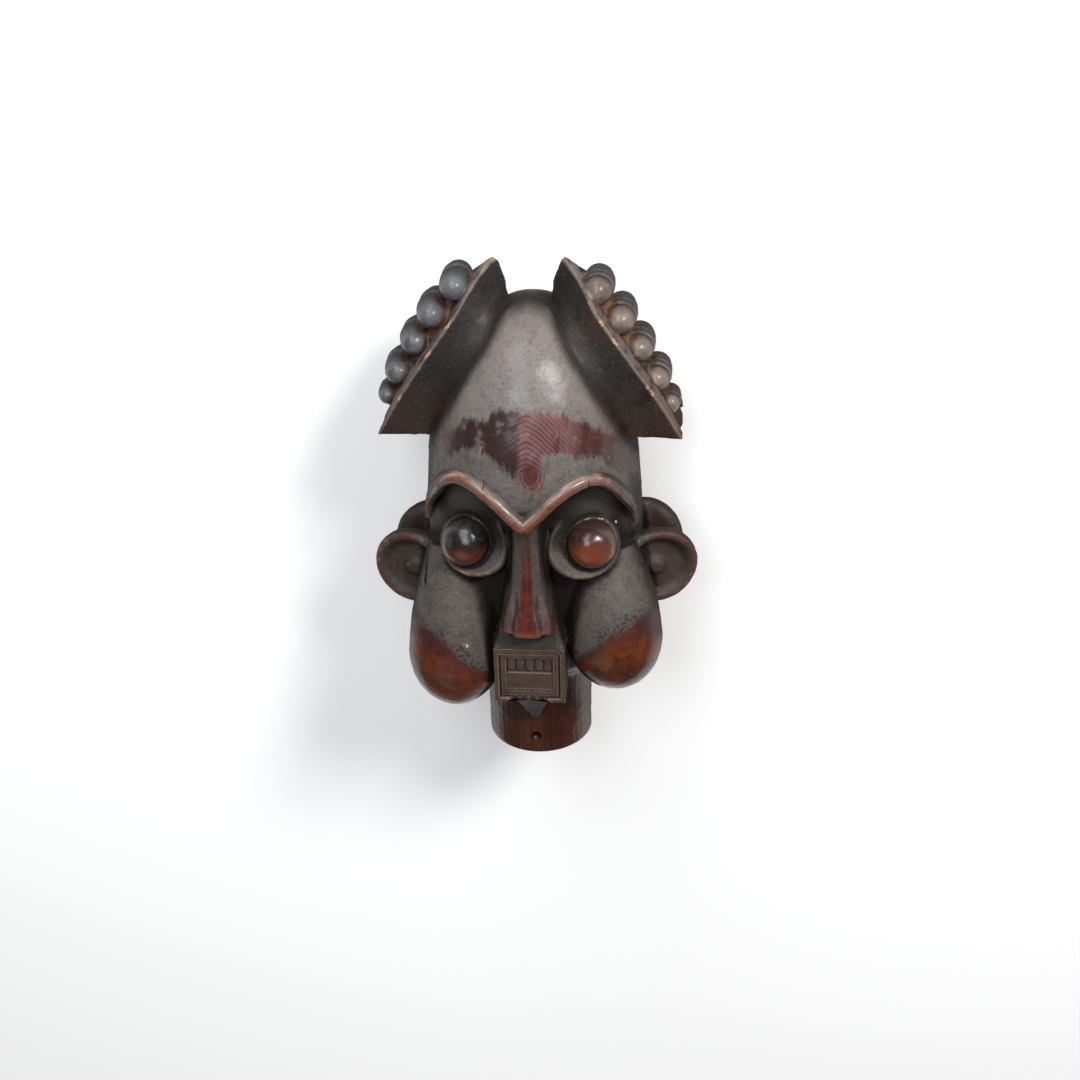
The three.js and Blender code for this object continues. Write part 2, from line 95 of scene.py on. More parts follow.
def curveThrough(rows):
    # Catmull-Rom curve through rows; atShare reads it along its rows, atFirst by its first column
    table = np.array(rows, float)
    last = len(table) - 1

    def atShare(share):
        place = np.clip(np.asarray(share, float), 0, 1) * last
        i = np.minimum(last - 1, place.astype(int))
        t = (place - i)[..., None]
        before, start = table[np.maximum(i - 1, 0)], table[i]
        end, after = table[i + 1], table[np.minimum(i + 2, last)]
        leave, arrive = (end - before) / 2, (after - start) / 2
        return (start * (1 + 2 * t) * (1 - t) ** 2 + leave * t * (1 - t) ** 2
                + end * t * t * (3 - 2 * t) + arrive * t * t * (t - 1))

    fine = atShare(np.linspace(0, 1, 900))
    if fine[-1, 0] < fine[0, 0]:
        fine = fine[::-1]

    def atFirst(value):
        return np.stack([np.interp(value, fine[:, 0], fine[:, k]) for k in range(fine.shape[1])], axis=-1)

    return atShare, atFirst


def ringShell(rings, startPoint=None, endPoint=None):
    # a closed tube of rings[row, side]; each end is a fan to its middle or to a given point; faces outward
    rowCount, sides = rings.shape[:2]
    startPoint = rings[0].mean(0) if startPoint is None else startPoint
    endPoint = rings[-1].mean(0) if endPoint is None else endPoint
    points = np.concatenate([rings.reshape(-1, 3), [startPoint, endPoint]])
    k = np.arange(sides)
    after = (k + 1) % sides
    row = (np.arange(rowCount - 1) * sides)[:, None]
    quads = np.stack([row + k, row + after, row + sides + after, row + sides + k], -1).reshape(-1, 4)
    lastRow = (rowCount - 1) * sides
    startFan = np.stack([after, k, np.full(sides, len(points) - 2)], -1)
    endFan = np.stack([lastRow + k, lastRow + after, np.full(sides, len(points) - 1)], -1)
    triangles = np.concatenate([quads[:, [0, 1, 2]], quads[:, [0, 2, 3]], startFan, endFan])
    a, b, c = (points[triangles[:, n]] for n in range(3))
    if np.einsum("ij,ij->", a, np.cross(b, c)) < 0:
        triangles = triangles[:, ::-1]
    return points, triangles


def dense(corners, between):
    # straight runs between the points of the last axis but one, each split into equal steps
    following = np.roll(corners, -1, axis=-2)
    steps = (np.arange(between) / between)[:, None]
    filled = corners[..., None, :] + (following - corners)[..., None, :] * steps
    return filled.reshape(*corners.shape[:-2], -1, corners.shape[-1])


def flipZ(points):
    return points * np.array([1, 1, -1])


def turned(face, points):
    return points if face["way"] > 0 else flipZ(points)


def levelShell(face, height, xs, zs, between):
    # level sections one above the other; xs and zs list the columns of their corners
    x, z = (np.stack([column + 0 * height for column in columns], -1) for columns in (xs, zs))
    corners = np.stack([x, np.repeat(height[:, None], len(xs), 1), z], -1)
    return ringShell(turned(face, dense(corners, between)))


def putPoints(mesh, points):
    mesh.vertices.foreach_set("co", points.astype(np.float32).ravel())
    mesh.update()


def meshOf(name, shells):
    # one mesh from closed shells of points and triangles
    offset, allPoints, allTriangles = 0, [], []
    for points, triangles in shells:
        allPoints.append(points)
        allTriangles.append(triangles + offset)
        offset += len(points)
    points, triangles = np.concatenate(allPoints), np.concatenate(allTriangles)
    mesh = bpy.data.meshes.new(name)
    mesh.vertices.add(len(points))
    mesh.vertices.foreach_set("co", points.astype(np.float32).ravel())
    mesh.loops.add(triangles.size)
    mesh.loops.foreach_set("vertex_index", triangles.astype(np.int32).ravel())
    mesh.polygons.add(len(triangles))
    mesh.polygons.foreach_set("loop_start", np.arange(0, triangles.size, 3, dtype=np.int32))
    mesh.update(calc_edges=True)
    mesh.validate()
    return mesh


# The two faces. The rear one is plainer, flatter at the brow and fuller at the cheeks.
faces = [
    {"way": 1, "foreheadShare": 1.0, "browProud": 5.5, "cheekDepth": 52},
    {"way": -1, "foreheadShare": 0.97, "browProud": 3.4, "cheekDepth": 55.5},
]

headSizes = {
    # height, half width, half depth of the face, half depth of the forehead
    "stations": [[70, 34, 34, 34], [76, 46, 43, 46], [86, 60, 50, 58], [102, 72, 55, 70],
                 [125, 79.5, 59, 82], [160, 84, 62, 90], [200, 85.5, 62, 95], [243, 83.5, 64, 97],
                 [272, 81, 66, 95],
                 [297, 77.5, 68, 90], [320, 71.5, 70, 82], [342, 60, 64, 73], [360, 47.5, 55, 62],
                 [374, 35, 43, 48], [384, 22, 27, 32], [389, 7, 8, 10]],
    "roundness": 2.2, "crown": 390, "browStep": 7, "sides": 300, "boreRows": 50, "neckRows": 24,
    "neckRadius": 43.5, "neckWall": 10, "hollowDepth": 178,
    "lashHole": 8, "lashHeight": 16.7, "lashRise": 4.5, "lashSides": 40,
}
browSizes = {
    "curve": [[0, 245.5], [11, 256], [22, 266.5], [35, 275], [48, 277.5], [60, 271], [71, 254], [78, 236],
              [81, 217]],
    "band": 4.8, "steps": 300, "sides": 24,
}
headShare, headFirst = curveThrough(headSizes["stations"])
browShare, browFirst = curveThrough(browSizes["curve"])
browReach = browSizes["curve"][-1][0]
browFoot = browSizes["curve"][0][1]


def browHeight(x):
    return browFirst(np.minimum(browReach, np.abs(x)))[..., 1]


def headShell():
    # Rings about the y axis: up inside the hollow's wall in reverse, over the rim, up the neck and the
    # head.
    # Level sections are superellipses x = a cos^(2/n), z = b sin^(2/n); the rows of the head are lifted
    # by the
    # brow's height, and the depth steps from forehead to face over the few millimetres under that line.
    s = headSizes
    angle = fullTurn(s["sides"])
    circle = np.stack([np.cos(angle), np.zeros_like(angle), np.sin(angle)], -1)
    bore = s["neckRadius"] - s["neckWall"]
    shoulder = s["hollowDepth"] - bore
    dome = np.radians(np.linspace(86, 0, 12))
    rows = s["boreRows"]
    radii = np.concatenate([bore * np.cos(dome), np.full(rows, bore)])
    heights = np.concatenate([shoulder + bore * np.sin(dome), np.linspace(shoulder - 3, 1.5, rows)])
    rim = [[bore + 0.6, 0.4], [bore + 1.5, 0], [s["neckRadius"] - 1.6, 0], [s["neckRadius"] - 0.5, 0.5]]
    rows = s["neckRows"]
    outer = np.stack([np.full(rows, s["neckRadius"]), np.linspace(1.8, 73, rows)], -1)
    profile = np.concatenate([np.stack([radii, heights], -1), rim, outer])
    lowRings = circle * profile[:, 0][:, None, None] + np.array([0, 1, 0]) * profile[:, 1][:, None, None]

    bottom, top = s["stations"][0][0], s["stations"][-1][0]
    step = s["browStep"]
    rows = np.concatenate([np.linspace(76, browFoot - step - 1, 66),
                           np.linspace(browFoot - step, browFoot, 9),
                           np.linspace(browFoot + 2, top, 62)])[:, None]
    cover = smooth((rows - browFoot + step) / step)
    fade = np.where(rows > browFoot, (top - rows) / (top - browFoot), (rows - bottom) / (browFoot - bottom))
    level = s["stations"][7][1] * power(np.cos(angle), 2 / s["roundness"])
    height = rows + (browHeight(level) - browFoot) * fade ** 1.5
    station = headFirst(height)
    share = np.where(np.sin(angle) < 0, faces[1]["foreheadShare"], 1)
    depth = mix(station[..., 2], station[..., 3] * share, cover)
    x = station[..., 1] * power(np.cos(angle), 2 / s["roundness"])
    z = depth * power(np.sin(angle), 2 / s["roundness"])
    rings = np.concatenate([lowRings, np.stack([x, height, z], -1)])
    return ringShell(rings, np.array([0, s["hollowDepth"], 0]), np.array([0, s["crown"], 0]))


def foreheadPoint(x, face):
    height = browHeight(x)
    station = headFirst(height)
    share = np.minimum(1, np.abs(x) / station[..., 1])
    n = headSizes["roundness"]
    return np.stack([x, height, face["foreheadShare"] * station[..., 3] * (1 - share ** n) ** (1 / n)], -1)


def browShell(face):
    # An oval section carried along the brow line, upright on the forehead, thinner toward both ends.
    s = browSizes
    x = browReach * 0.995 * np.sin(np.linspace(-1, 1, s["steps"]) * math.pi / 2)
    centre = foreheadPoint(x, face)
    outward = unit(centre * [1, 0, 1.15])
    along = unit(foreheadPoint(x + 0.6, face) - foreheadPoint(x - 0.6, face))
    down = unit(np.cross(outward, along))
    taper = mix(0.55, 1, smooth((browReach - np.abs(x)) / 9))
    wide = s["band"] * (1 + 0.15 * bell(x, 6))
    turn = fullTurn(s["sides"])
    proud = (face["browProud"] * taper)[:, None] * power(np.cos(turn), 0.75)
    span = (wide * taper)[:, None] * power(np.sin(turn), 0.75)
    rings = reached(centre[:, None], (outward[:, None], proud), (down[:, None], span))
    return ringShell(turned(face, rings))


eyeSizes = {
    "centre": [43, 213.5, 64], "turn": 20, "lift": 22, "lidRadius": 26.5, "lidStretch": 1.1, "lidWidth": 4,
    "lidGroove": 3.5, "ballRadius": 19, "ballProud": 17.5, "ballShift": 6.5, "depth": 34,
    "sides": 96, "rows": 110,
}


def eyeShell(side, face):
    # A profile of radius and distance turned about the eye's own axis, the lid ring wider than tall and the
    # ball set toward the temple within it.
    s = eyeSizes
    lid, ball, proud = s["lidRadius"], s["ballRadius"], s["ballProud"]
    profile = curveThrough([
        [lid * 0.8, -s["depth"]], [lid * 0.95, -s["depth"] * 0.6], [lid * 1.02, -s["depth"] * 0.3],
        [lid, -2.5], [lid - s["lidWidth"] * 0.4, 0], [lid - s["lidWidth"], -0.8],
        [ball + 0.6, -s["lidGroove"]], [ball * 0.985, 2], [ball * 0.88, proud * 0.5],
        [ball * 0.66, proud * 0.78], [ball * 0.34, proud * 0.95], [0.4, proud]])[0](np.linspace(0, 1, s["rows"]))
    radius, distance = profile[:, 0][:, None], profile[:, 1][:, None]
    turn, lift = math.radians(s["turn"]) * side, math.radians(s["lift"])
    axis = np.array([math.sin(turn) * math.cos(lift), math.sin(lift), math.cos(turn) * math.cos(lift)])
    across = unit(np.cross([0, 1, 0], axis))
    up = np.cross(axis, across)
    angle = fullTurn(s["sides"])
    inner = smooth((lid - s["lidWidth"] - radius) / 2 + 0.5)
    sideways = radius * mix(s["lidStretch"], 1, inner) * np.cos(angle) + s["ballShift"] * side * inner * 0.9
    centre = np.array(s["centre"]) * [side, 1, 1]
    rings = reached(centre, (axis, distance), (across, sideways), (up, radius * np.sin(angle)))
    return ringShell(turned(face, rings))


noseSizes = {
    "stations": [[247, 10, 95], [228, 10.5, 90], [205, 11.5, 88], [180, 14.5, 91], [163, 19.5, 96],
                 [151, 21.5, 98]],
    "tip": 148, "back": 54, "ridge": 0.36, "rows": 90,
    "columnTop": 238, "columnTopHalf": 13, "columnBack": 46, "columnSet": 6,
}
mouthSizes = {
    "half": 28, "top": 131, "height": 50, "front": 85, "back": 58, "round": 1.0, "edge": 0.7,
    # frame, lip, inside: where frame and lips end, from the outer edge; then the depth of each step
    "frame": 3.9, "lip": 5.4, "inside": 9.8, "grooveDeep": 2.4, "lipRise": 1.3, "insideDeep": 3.1,
    "teeth": 5, "toothHeight": 11, "toothProud": 2.2, "gap": 2.2, "slabProud": 1.9,
    "brokenFrom": -17, "brokenTo": 14.5, "brokenDeep": 3.6, "inset": 1.2, "recess": 7,
    "chinHalf": 14.5, "chinTip": 37, "chinThick": 5,
    "rows": 150, "columns": 170, "sideColumns": 8, "blurRounds": 10,
}


def noseShell(face):
    # Level sections with a narrow flat ridge and sloping sides, wider and fuller toward the nostrils.
    s = noseSizes
    height = np.concatenate([np.linspace(s["stations"][0][0], s["tip"] + 3, s["rows"]),
                             [s["tip"] + 1, s["tip"]]])
    shrink = np.ones_like(height)
    shrink[-2:] = [0.97, 0.9]
    station = curveThrough(s["stations"])[1](np.maximum(height, s["tip"] + 3))
    half, front = station[:, 1], station[:, 2]
    slope = half * 0.62
    rightXs = [half * s["ridge"], half * 0.86, half, half]
    rightZs = [front, front - slope * 0.55, front - slope - 3, s["back"]]
    xs = [x * shrink for x in [-x for x in rightXs[::-1]] + rightXs]
    return levelShell(face, height, xs, [mix(s["back"], z, shrink) for z in rightZs[::-1] + rightZs], 10)


def columnShell(face):
    # Level sections of a column that widens from the bridge of the nose down to the top of the mouth.
    s, m = noseSizes, mouthSizes
    rows = np.array([
        [s["columnTop"], s["columnTopHalf"], m["front"] - 14],
        [mix(s["columnTop"], m["top"], 0.5), mix(s["columnTopHalf"], m["half"], 0.25), m["front"] - 12],
        [s["tip"] + 6, mix(s["columnTopHalf"], m["half"], 0.62), m["front"] - s["columnSet"]],
        [s["tip"] - 4, mix(s["columnTopHalf"], m["half"], 0.74), m["front"] - s["columnSet"] + 1],
        [m["top"] - 1, m["half"] - 0.4, m["front"] - 0.4], [m["top"] - 8, m["half"] - 0.6, m["front"] - 2]])
    height, half, front = rowsBetween(rows, np.linspace(0, 0.95, 20)).T
    xs = [-half, -half, -half + 2.4, half - 2.4, half, half]
    zs = [s["columnBack"], front - 3, front, front, front - 3, s["columnBack"]]
    return levelShell(face, height, xs, zs, 10)


def within(x, low, high, edge):
    # 1 between low and high, with a slope as wide as edge at each end
    return smooth((x - low) / edge + 0.5) * smooth((high - x) / edge + 0.5)


def mouthBlock(face):
    # The plain core of the mouth's box, inside the relief that covers it.
    s = mouthSizes
    half, front = s["half"] - s["inset"], s["front"] - s["recess"]
    low, high = s["top"] - s["height"] + s["inset"], s["top"] - s["inset"]
    square = np.array([[-half, 0, 36], [-half, 0, front], [half, 0, front], [half, 0, 36]], float)
    rings = square + np.array([0, 1, 0]) * np.linspace(low, high, 30)[:, None, None]
    return ringShell(turned(face, dense(rings, 20)))


def mouthHeight(x, y):
    # The front of the mouth as a depth over (x, y). Its steps follow the distance d from the outer edge:
    # frame, groove, lips, opening; in the opening a row of teeth with rounded fronts and scalloped lower
    # edges stands over a plain slab. The frame is broken away under the opening.
    s = mouthSizes
    half, top = s["half"], s["top"]
    bottom = top - s["height"]
    d = np.minimum(np.minimum(half - np.abs(x), y - bottom), top - y)

    def past(distance):
        return smooth((d - distance) / s["edge"] + 0.5)

    inside = past(s["inside"])
    z = s["front"] - s["grooveDeep"] * past(s["frame"])
    z = z + s["lipRise"] * past(s["lip"]) - s["insideDeep"] * inside
    z = z - 0.12 * np.sin(x / 3.1 + np.sin(y / 4.3)) - 0.12 * np.sin(y / 2.7 + np.sin(x / 5.2))
    rowHalf = half - s["inside"]
    place = (x + rowHalf) / (2 * rowHalf) * s["teeth"]
    across = 2 * (place - np.floor(place)) - 1
    toothLow = top - s["inside"] - s["toothHeight"] + 2.2 * across ** 2
    rounded = (1 - 0.3 * across ** 2) * (1 - np.abs(across) ** 7)
    tooth = smooth((y - toothLow) / 1.4 + 0.5) * rounded * inside
    slabTop = top - s["inside"] - s["toothHeight"] - s["gap"]
    slab = smooth((slabTop - y) / 1.0 + 0.5) * inside
    ledge = bell(y - bottom - s["inside"] - 1.2, 1.1) * inside
    z = z + s["toothProud"] * tooth + s["slabProud"] * slab + 0.9 * ledge
    ragged = 1.6 * np.sin(y * 1.9) + 0.7 * np.sin(y * 4.7 + 1)
    broken = within(x, s["brokenFrom"] + ragged, s["brokenTo"] - ragged, 1.2)
    broken = broken * smooth((bottom + s["lip"] + 0.6 * np.sin(x * 1.3) - y) / 1.0 + 0.5)
    z = z - (s["brokenDeep"] + 0.5 * np.sin(x * 0.9)) * broken
    near = np.clip(1 - d / s["round"], 0, 1)
    return z - s["round"] * (1 - np.sqrt(1 - near ** 2))


def mouthShell(face):
    # The relief as a closed solid. Also gives how far each of its points lies in a groove or on an edge.
    s = mouthSizes
    y = np.linspace(s["top"] - s["height"], s["top"], s["rows"])[:, None]
    x = np.linspace(-s["half"], s["half"], s["columns"])[None]
    z = mouthHeight(x + 0 * y, y + 0 * x)
    blurred = z
    for axis in (0, 1):
        for n in range(s["blurRounds"]):
            padded = np.concatenate([blurred.take([0], axis), blurred, blurred.take([-1], axis)], axis)
            size = blurred.shape[axis]
            before, after = (padded.take(range(k, k + size), axis) for k in (0, 2))
            blurred = blurred / 2 + (before + after) / 4
    front = np.stack([x + 0 * y, y + 0 * x, z], -1)
    deep = np.linspace(s["front"] - s["round"] - 1, s["back"], s["sideColumns"])[None] + 0 * y
    right = np.stack([np.full_like(deep, s["half"]), y + 0 * deep, deep], -1)
    left = (right * [-1, 1, 1])[:, ::-1]
    groove = np.concatenate([blurred - z, 0 * deep, 0 * deep], 1)
    shell = ringShell(turned(face, np.concatenate([front, right, left], 1)))
    return shell, np.append(groove.ravel(), [0, 0])


def chinShell(face):
    # A wedge of level sections with a low ridge, running out on the neck.
    s = mouthSizes
    bottom = s["top"] - s["height"]
    neck, back = headSizes["neckRadius"], headSizes["neckRadius"] - headSizes["neckWall"] / 2
    rows = np.array([[bottom + 2, s["chinHalf"], s["front"] - 4],
                     [bottom - 2, s["chinHalf"], s["front"] - 5],
                     [mix(bottom, s["chinTip"], 0.55), s["chinHalf"] * 0.6,
                      mix(s["front"], neck + s["chinThick"], 0.68)],
                     [s["chinTip"], 1, neck + s["chinThick"] * 0.4]])
    height, half, front = np.vstack([rowsBetween(rows, np.linspace(0, 0.96, 24)), rows[-1]]).T
    zs = [back, front - half * 0.2, front, front - half * 0.2, back]
    return levelShell(face, height, [-half, -half, 0, half, half], zs, 8)


cheekSizes = {"top": [57, 196, 30], "leftLow": [62, 101], "rightLow": [65.5, 121], "radius": 39,
              "topRadius": 25, "sides": 110, "rows": 90}


def cheekShell(side, face):
    # Round sections along a straight axis; the radius swells as a sine and closes as a full rounded end.
    s = cheekSizes
    lowX, lowY = s["leftLow"] if side < 0 else s["rightLow"]
    top = np.array(s["top"]) * [side, 1, 1]
    low = np.array([lowX * side, lowY, face["cheekDepth"]])
    length = np.linalg.norm(low - top)
    axis = (low - top) / length
    across = unit(np.array([1, 0, 0]) - axis * axis[0])
    front = np.cross(across, axis)
    total = length + s["radius"]
    run = total * 0.999 * np.sin(np.linspace(0, 1, s["rows"])[:, None] * math.pi / 2) ** 0.9
    body = mix(s["topRadius"], s["radius"], np.sin(np.minimum(1, run / (length * 0.9)) * math.pi / 2))
    past = np.maximum(0, run - length * 0.92) / (total - length * 0.92)
    radius = body * np.sqrt(np.maximum(0, 1 - past ** 1.9))
    angle = fullTurn(s["sides"])
    rings = reached(top, (axis, run), (across, radius * np.cos(angle)), (front, radius * np.sin(angle)))
    return ringShell(turned(face, rings), None, turned(face, top + axis * total))


earSizes = {
    "pairs": [{"centre": [97, 170, 19], "half": 33, "tall": 32, "turn": 16},
              {"centre": [88, 175, -22], "half": 30, "tall": 31, "turn": 164}],
    "drop": 3, "thick": 15, "rim": 6.5, "dish": 6, "boss": 9, "sides": 110, "rows": 80,
}


def earShell(side, pair):
    # A profile of radius and distance turned about the ear's axis: rounded rim, dished bowl, low boss.
    s = earSizes
    thick, dish = s["thick"], s["dish"]
    # share of the radius, millimetres less, distance along the axis
    profile = curveThrough([
        [0.3, 0, -thick * 0.5], [0.8, 0, -thick * 0.48], [1, 0, -thick * 0.2], [1, 0, thick * 0.3],
        [1, s["rim"] * 0.45, thick * 0.5], [1, s["rim"], thick * 0.42],
        [0.98, s["rim"] * 1.5, thick * 0.5 - dish], [0.55, 0, thick * 0.45 - dish],
        [0, -s["boss"], thick * 0.5 - dish], [0, -s["boss"] * 0.6, thick * 0.5 - dish * 0.35],
        [0, -0.3, thick * 0.5 - dish * 0.2]])[0](np.linspace(0, 1, s["rows"]))
    share, less, distance = (profile[:, n][:, None] for n in range(3))
    turn = math.radians(pair["turn"]) * side
    axis = np.array([math.sin(turn), 0, math.cos(turn)])
    across = np.array([math.cos(turn), 0, -math.sin(turn)])
    angle = fullTurn(s["sides"])
    centre = np.array(pair["centre"]) * [side, 1, 1] + [0, s["drop"] * side, 0]
    sideways = (pair["half"] * share - less) * np.cos(angle)
    upward = (pair["tall"] * share - less) * np.sin(angle)
    return ringShell(reached(centre, (axis, distance), (across, sideways), (np.array([0, 1, 0]), upward)))


crestSizes = {
    # front edge of the blade from its tip to its outer point, and where it runs into the dome
    "edge": [[25, 420, 3], [32.5, 415, 13], [42.5, 403, 25], [52, 388, 34], [67, 367, 39], [83, 345, 41],
             [100, 318.5, 39], [116.6, 290, 36]],
    "root": [[18.5, 386, 4], [20, 382, 14], [24, 374, 30], [31, 362, 42], [40, 349, 48], [50, 332, 49],
             [63, 311, 45], [72, 292, 38]],
    "hollow": 4, "tipSwell": 4, "lip": 13, "flare": 2.5, "rearSet": 4, "bedDrop": 2.5, "bedRise": 8,
              "steps": 170,
    # knobs from the tip down: share of the edge, radius, reach out of the edge on the left and on the right
    "knobs": [[0.35, 12.5, 22, 18], [0.53, 13, 25, 19.5], [0.67, 12.5, 23, 17], [0.8, 12, 20.5, 14],
              [0.9, 8.5, 14.5, 9]],
    "knobLength": 4.16, "knobSides": 72, "knobRows": 110,
    # grooves round each knob: places as shares of its half length, depth in millimetres; few on the left
    "grooves": {-1: [-0.5, 0.02], 1: [-0.7, -0.42, -0.14, 0.16, 0.44]},
    "grooveDepth": {-1: 1.7, 1: 1.2}, "grooveWide": {-1: 0.075, 1: 0.065},
}


def edgeFrame(share):
    # the edge's point at a share of its length, and its outward direction's x and y
    edge = curveThrough(crestSizes["edge"])[0]
    point = edge(share)
    along = edge(np.minimum(1, share + 0.02)) - edge(np.maximum(0, share - 0.02))
    length = np.hypot(along[..., 0], along[..., 1])
    return point, -along[..., 1] / length, along[..., 0] / length


def crestShell(side):
    # Sections from the dome out along the dished front blade, over its lip and the swelling bed of the
    # knobs, and back along the rear blade.
    s = crestSizes
    t = np.linspace(0, 1, s["steps"])
    point, outX, outY = edgeFrame(t)
    ex, ey, ez = point.T
    rx, ry, rz = curveThrough(s["root"])[0](t).T
    lip = np.minimum(s["lip"], ez * 0.75)
    flat = smooth((1 - t) * 6)
    lowest = s["edge"][-1][1]
    swell = s["bedRise"] * np.sin(math.pi * smooth(t))
    tip = smooth(1 - 6 * t)

    def half(inset):
        x, y = ex - outX * inset * flat, ey - outY * inset * flat
        dish = s["hollow"] * 0.4 * (1 - tip)
        rows = [
            [rx * 0.65, ry - 6 * flat, rz * 0.4],
            [rx, ry, rz],
            [(rx + x) / 2 - outX * dish - s["tipSwell"] * tip, (ry + y) / 2 - outY * dish,
             (rz + ez) / 2 - s["hollow"]],
            [x, y, ez],
            [x + outX * s["flare"] * flat, y + outY * s["flare"] * flat, ez - lip],
            [x - outX * s["bedDrop"], y - outY * s["bedDrop"] * flat, ez - lip - 1.5],
            [ex + outX * swell, ey + outY * swell, (ez - lip) * 0.35],
        ]
        return np.stack([np.stack([px * side, np.maximum(py, lowest), pz], -1) for px, py, pz in rows], 1)

    corners = np.concatenate([half(0), flipZ(half(s["rearSet"]))[:, ::-1]], 1)
    return ringShell(dense(corners, 8))


def knobPlace(side, size):
    # the knob's middle, and its two directions square to its length
    share, radius, left, right = size
    point, outX, outY = edgeFrame(np.array(share))
    outward = np.array([float(outX) * side, float(outY), 0])
    along = np.array([float(outY) * side, -float(outX), 0])
    reach = left if side < 0 else right
    return np.array([point[0] * side, point[1], 0]) + outward * (reach - radius), outward, along


def knobShell(side, size):
    # A barrel on the crest's bed. Its sections at z are circles of radius r (1 - |z/h|^2.6)^(1/2.2), less
    # the grooves that run round it.
    s = crestSizes
    radius = size[1]
    centre, outward, along = knobPlace(side, size)
    half = radius * s["knobLength"] / 2
    row = np.sin(np.linspace(-1, 1, s["knobRows"])[:, None] * math.pi / 2) * 0.998
    wide = radius * (1 - np.abs(row) ** 2.6) ** (1 / 2.2)
    for place in s["grooves"][side]:
        away = row - place - 0.02 * math.sin(radius * 9)
        wide = wide - s["grooveDepth"][side] * bell(away, s["grooveWide"][side])
    angle = fullTurn(s["knobSides"])
    return ringShell(reached(centre, (outward, wide * np.cos(angle)), (along, wide * np.sin(angle)),
                             (np.array([0, 0, 1]), row * half)))


def holeShell():
    # A cylinder through both walls of the neck, for the lash holes; it rises in the hollow, so that a
    # hole shows
    # the dark wall behind it and not daylight.
    s = headSizes
    angle = fullTurn(s["lashSides"])
    z = np.array([-8, 0, 10]) + s["neckRadius"]
    z = np.concatenate([-z[::-1], -z[:1] + 16, z[:1] - 16, z])
    middle = s["lashHeight"] + s["lashRise"] * smooth((s["neckRadius"] - np.abs(z)) / 8)
    radius = s["lashHole"] / 2
    rings = np.stack([radius * np.cos(angle) + 0 * z[:, None], middle[:, None] + radius * np.sin(angle),
                      z[:, None] + 0 * angle], -1)
    return ringShell(rings)


def linked(name, mesh):
    piece = bpy.data.objects.new(name, mesh)
    bpy.context.scene.collection.objects.link(piece)
    return piece


def settled(piece):
    # the mesh with its modifiers applied, as a new mesh
    graph = bpy.context.evaluated_depsgraph_get()
    return bpy.data.meshes.new_from_object(piece.evaluated_get(graph))


block = {"voxel": 1.05, "evenRounds": 3, "filletRounds": 26, "filletShare": 0.7, "normalsEvery": 5,
         "lastRounds": 2, "triangles": 190000}


def carvedBlock():
    # All the forms joined as one block of wood by a voxel remesh, with the lash holes cut through first.
    head = linked("headForm", meshOf("headForm", [headShell()]))
    hole = linked("holeForm", meshOf("holeForm", [holeShell()]))
    cut = head.modifiers.new("lashHoles", "BOOLEAN")
    cut.object, cut.operation, cut.solver = hole, "DIFFERENCE", "EXACT"
    bored = settled(head)
    shells = [(readMesh(bored)[0], trianglesOf(bored))]
    for face in faces:
        shells += [browShell(face), noseShell(face), columnShell(face), mouthBlock(face), chinShell(face)]
        shells += [makeShell(side, face) for side in (-1, 1) for makeShell in (cheekShell, eyeShell)]
    for side in (-1, 1):
        shells += [earShell(side, pair) for pair in earSizes["pairs"]] + [crestShell(side)]
        shells += [knobShell(side, size) for size in crestSizes["knobs"]]
    joined = linked("joinedForms", meshOf("joinedForms", shells))
    remesh = joined.modifiers.new("oneBlock", "REMESH")
    remesh.mode, remesh.voxel_size, remesh.use_smooth_shade = "VOXEL", block["voxel"], True
    mesh = settled(joined)
    for form in (head, hole, joined):
        bpy.data.objects.remove(form)
    return mesh


def readMesh(mesh):
    points = np.empty(len(mesh.vertices) * 3, np.float32)
    mesh.vertices.foreach_get("co", points)
    edges = np.empty(len(mesh.edges) * 2, np.int32)
    mesh.edges.foreach_get("vertices", edges)
    return points.reshape(-1, 3).astype(float), edges.reshape(-1, 2)


def neighbourMean(values, edges, count):
    # the mean of each vertex's neighbours, for one or more columns
    a, b = edges[:, 0], edges[:, 1]
    degree = np.bincount(a, minlength=count) + np.bincount(b, minlength=count)
    columns = values.reshape(count, -1)
    total = np.stack([np.bincount(a, columns[b, k], count) + np.bincount(b, columns[a, k], count)
                      for k in range(columns.shape[1])], -1)
    return (total / np.maximum(degree, 1)[:, None]).reshape(values.shape)


def normalsOf(mesh, points):
    putPoints(mesh, points)
    normals = np.empty(len(points) * 3, np.float32)
    mesh.vertex_normals.foreach_get("vector", normals)
    return normals.reshape(-1, 3).astype(float)


def fineDetail(p):
    # 1 where carving is fine and must stay crisp: the mouths, the lid rings and the knobs
    x, y, z = np.abs(p[:, 0]), p[:, 1], np.abs(p[:, 2])
    s = mouthSizes
    foot = s["top"] - s["height"]
    mouth = within(x, -99, s["half"] + 1, 2) * within(y, foot - 1, s["top"] + 2, 2) * smooth((z - 66) / 4)
    ex, ey, ez = eyeSizes["centre"]
    eye = bell(np.sqrt((x - ex) ** 2 + (y - ey) ** 2 + (z - ez - 4) ** 2), 30)
    crest = smooth((y - 300) / 8) * smooth((x - 52) / 8 + (y - 360) / 12) * smooth((34 - z) / 4)
    return np.clip(mouth + smooth(eye * 2.4 - 0.7) + 0.8 * crest, 0, 1)


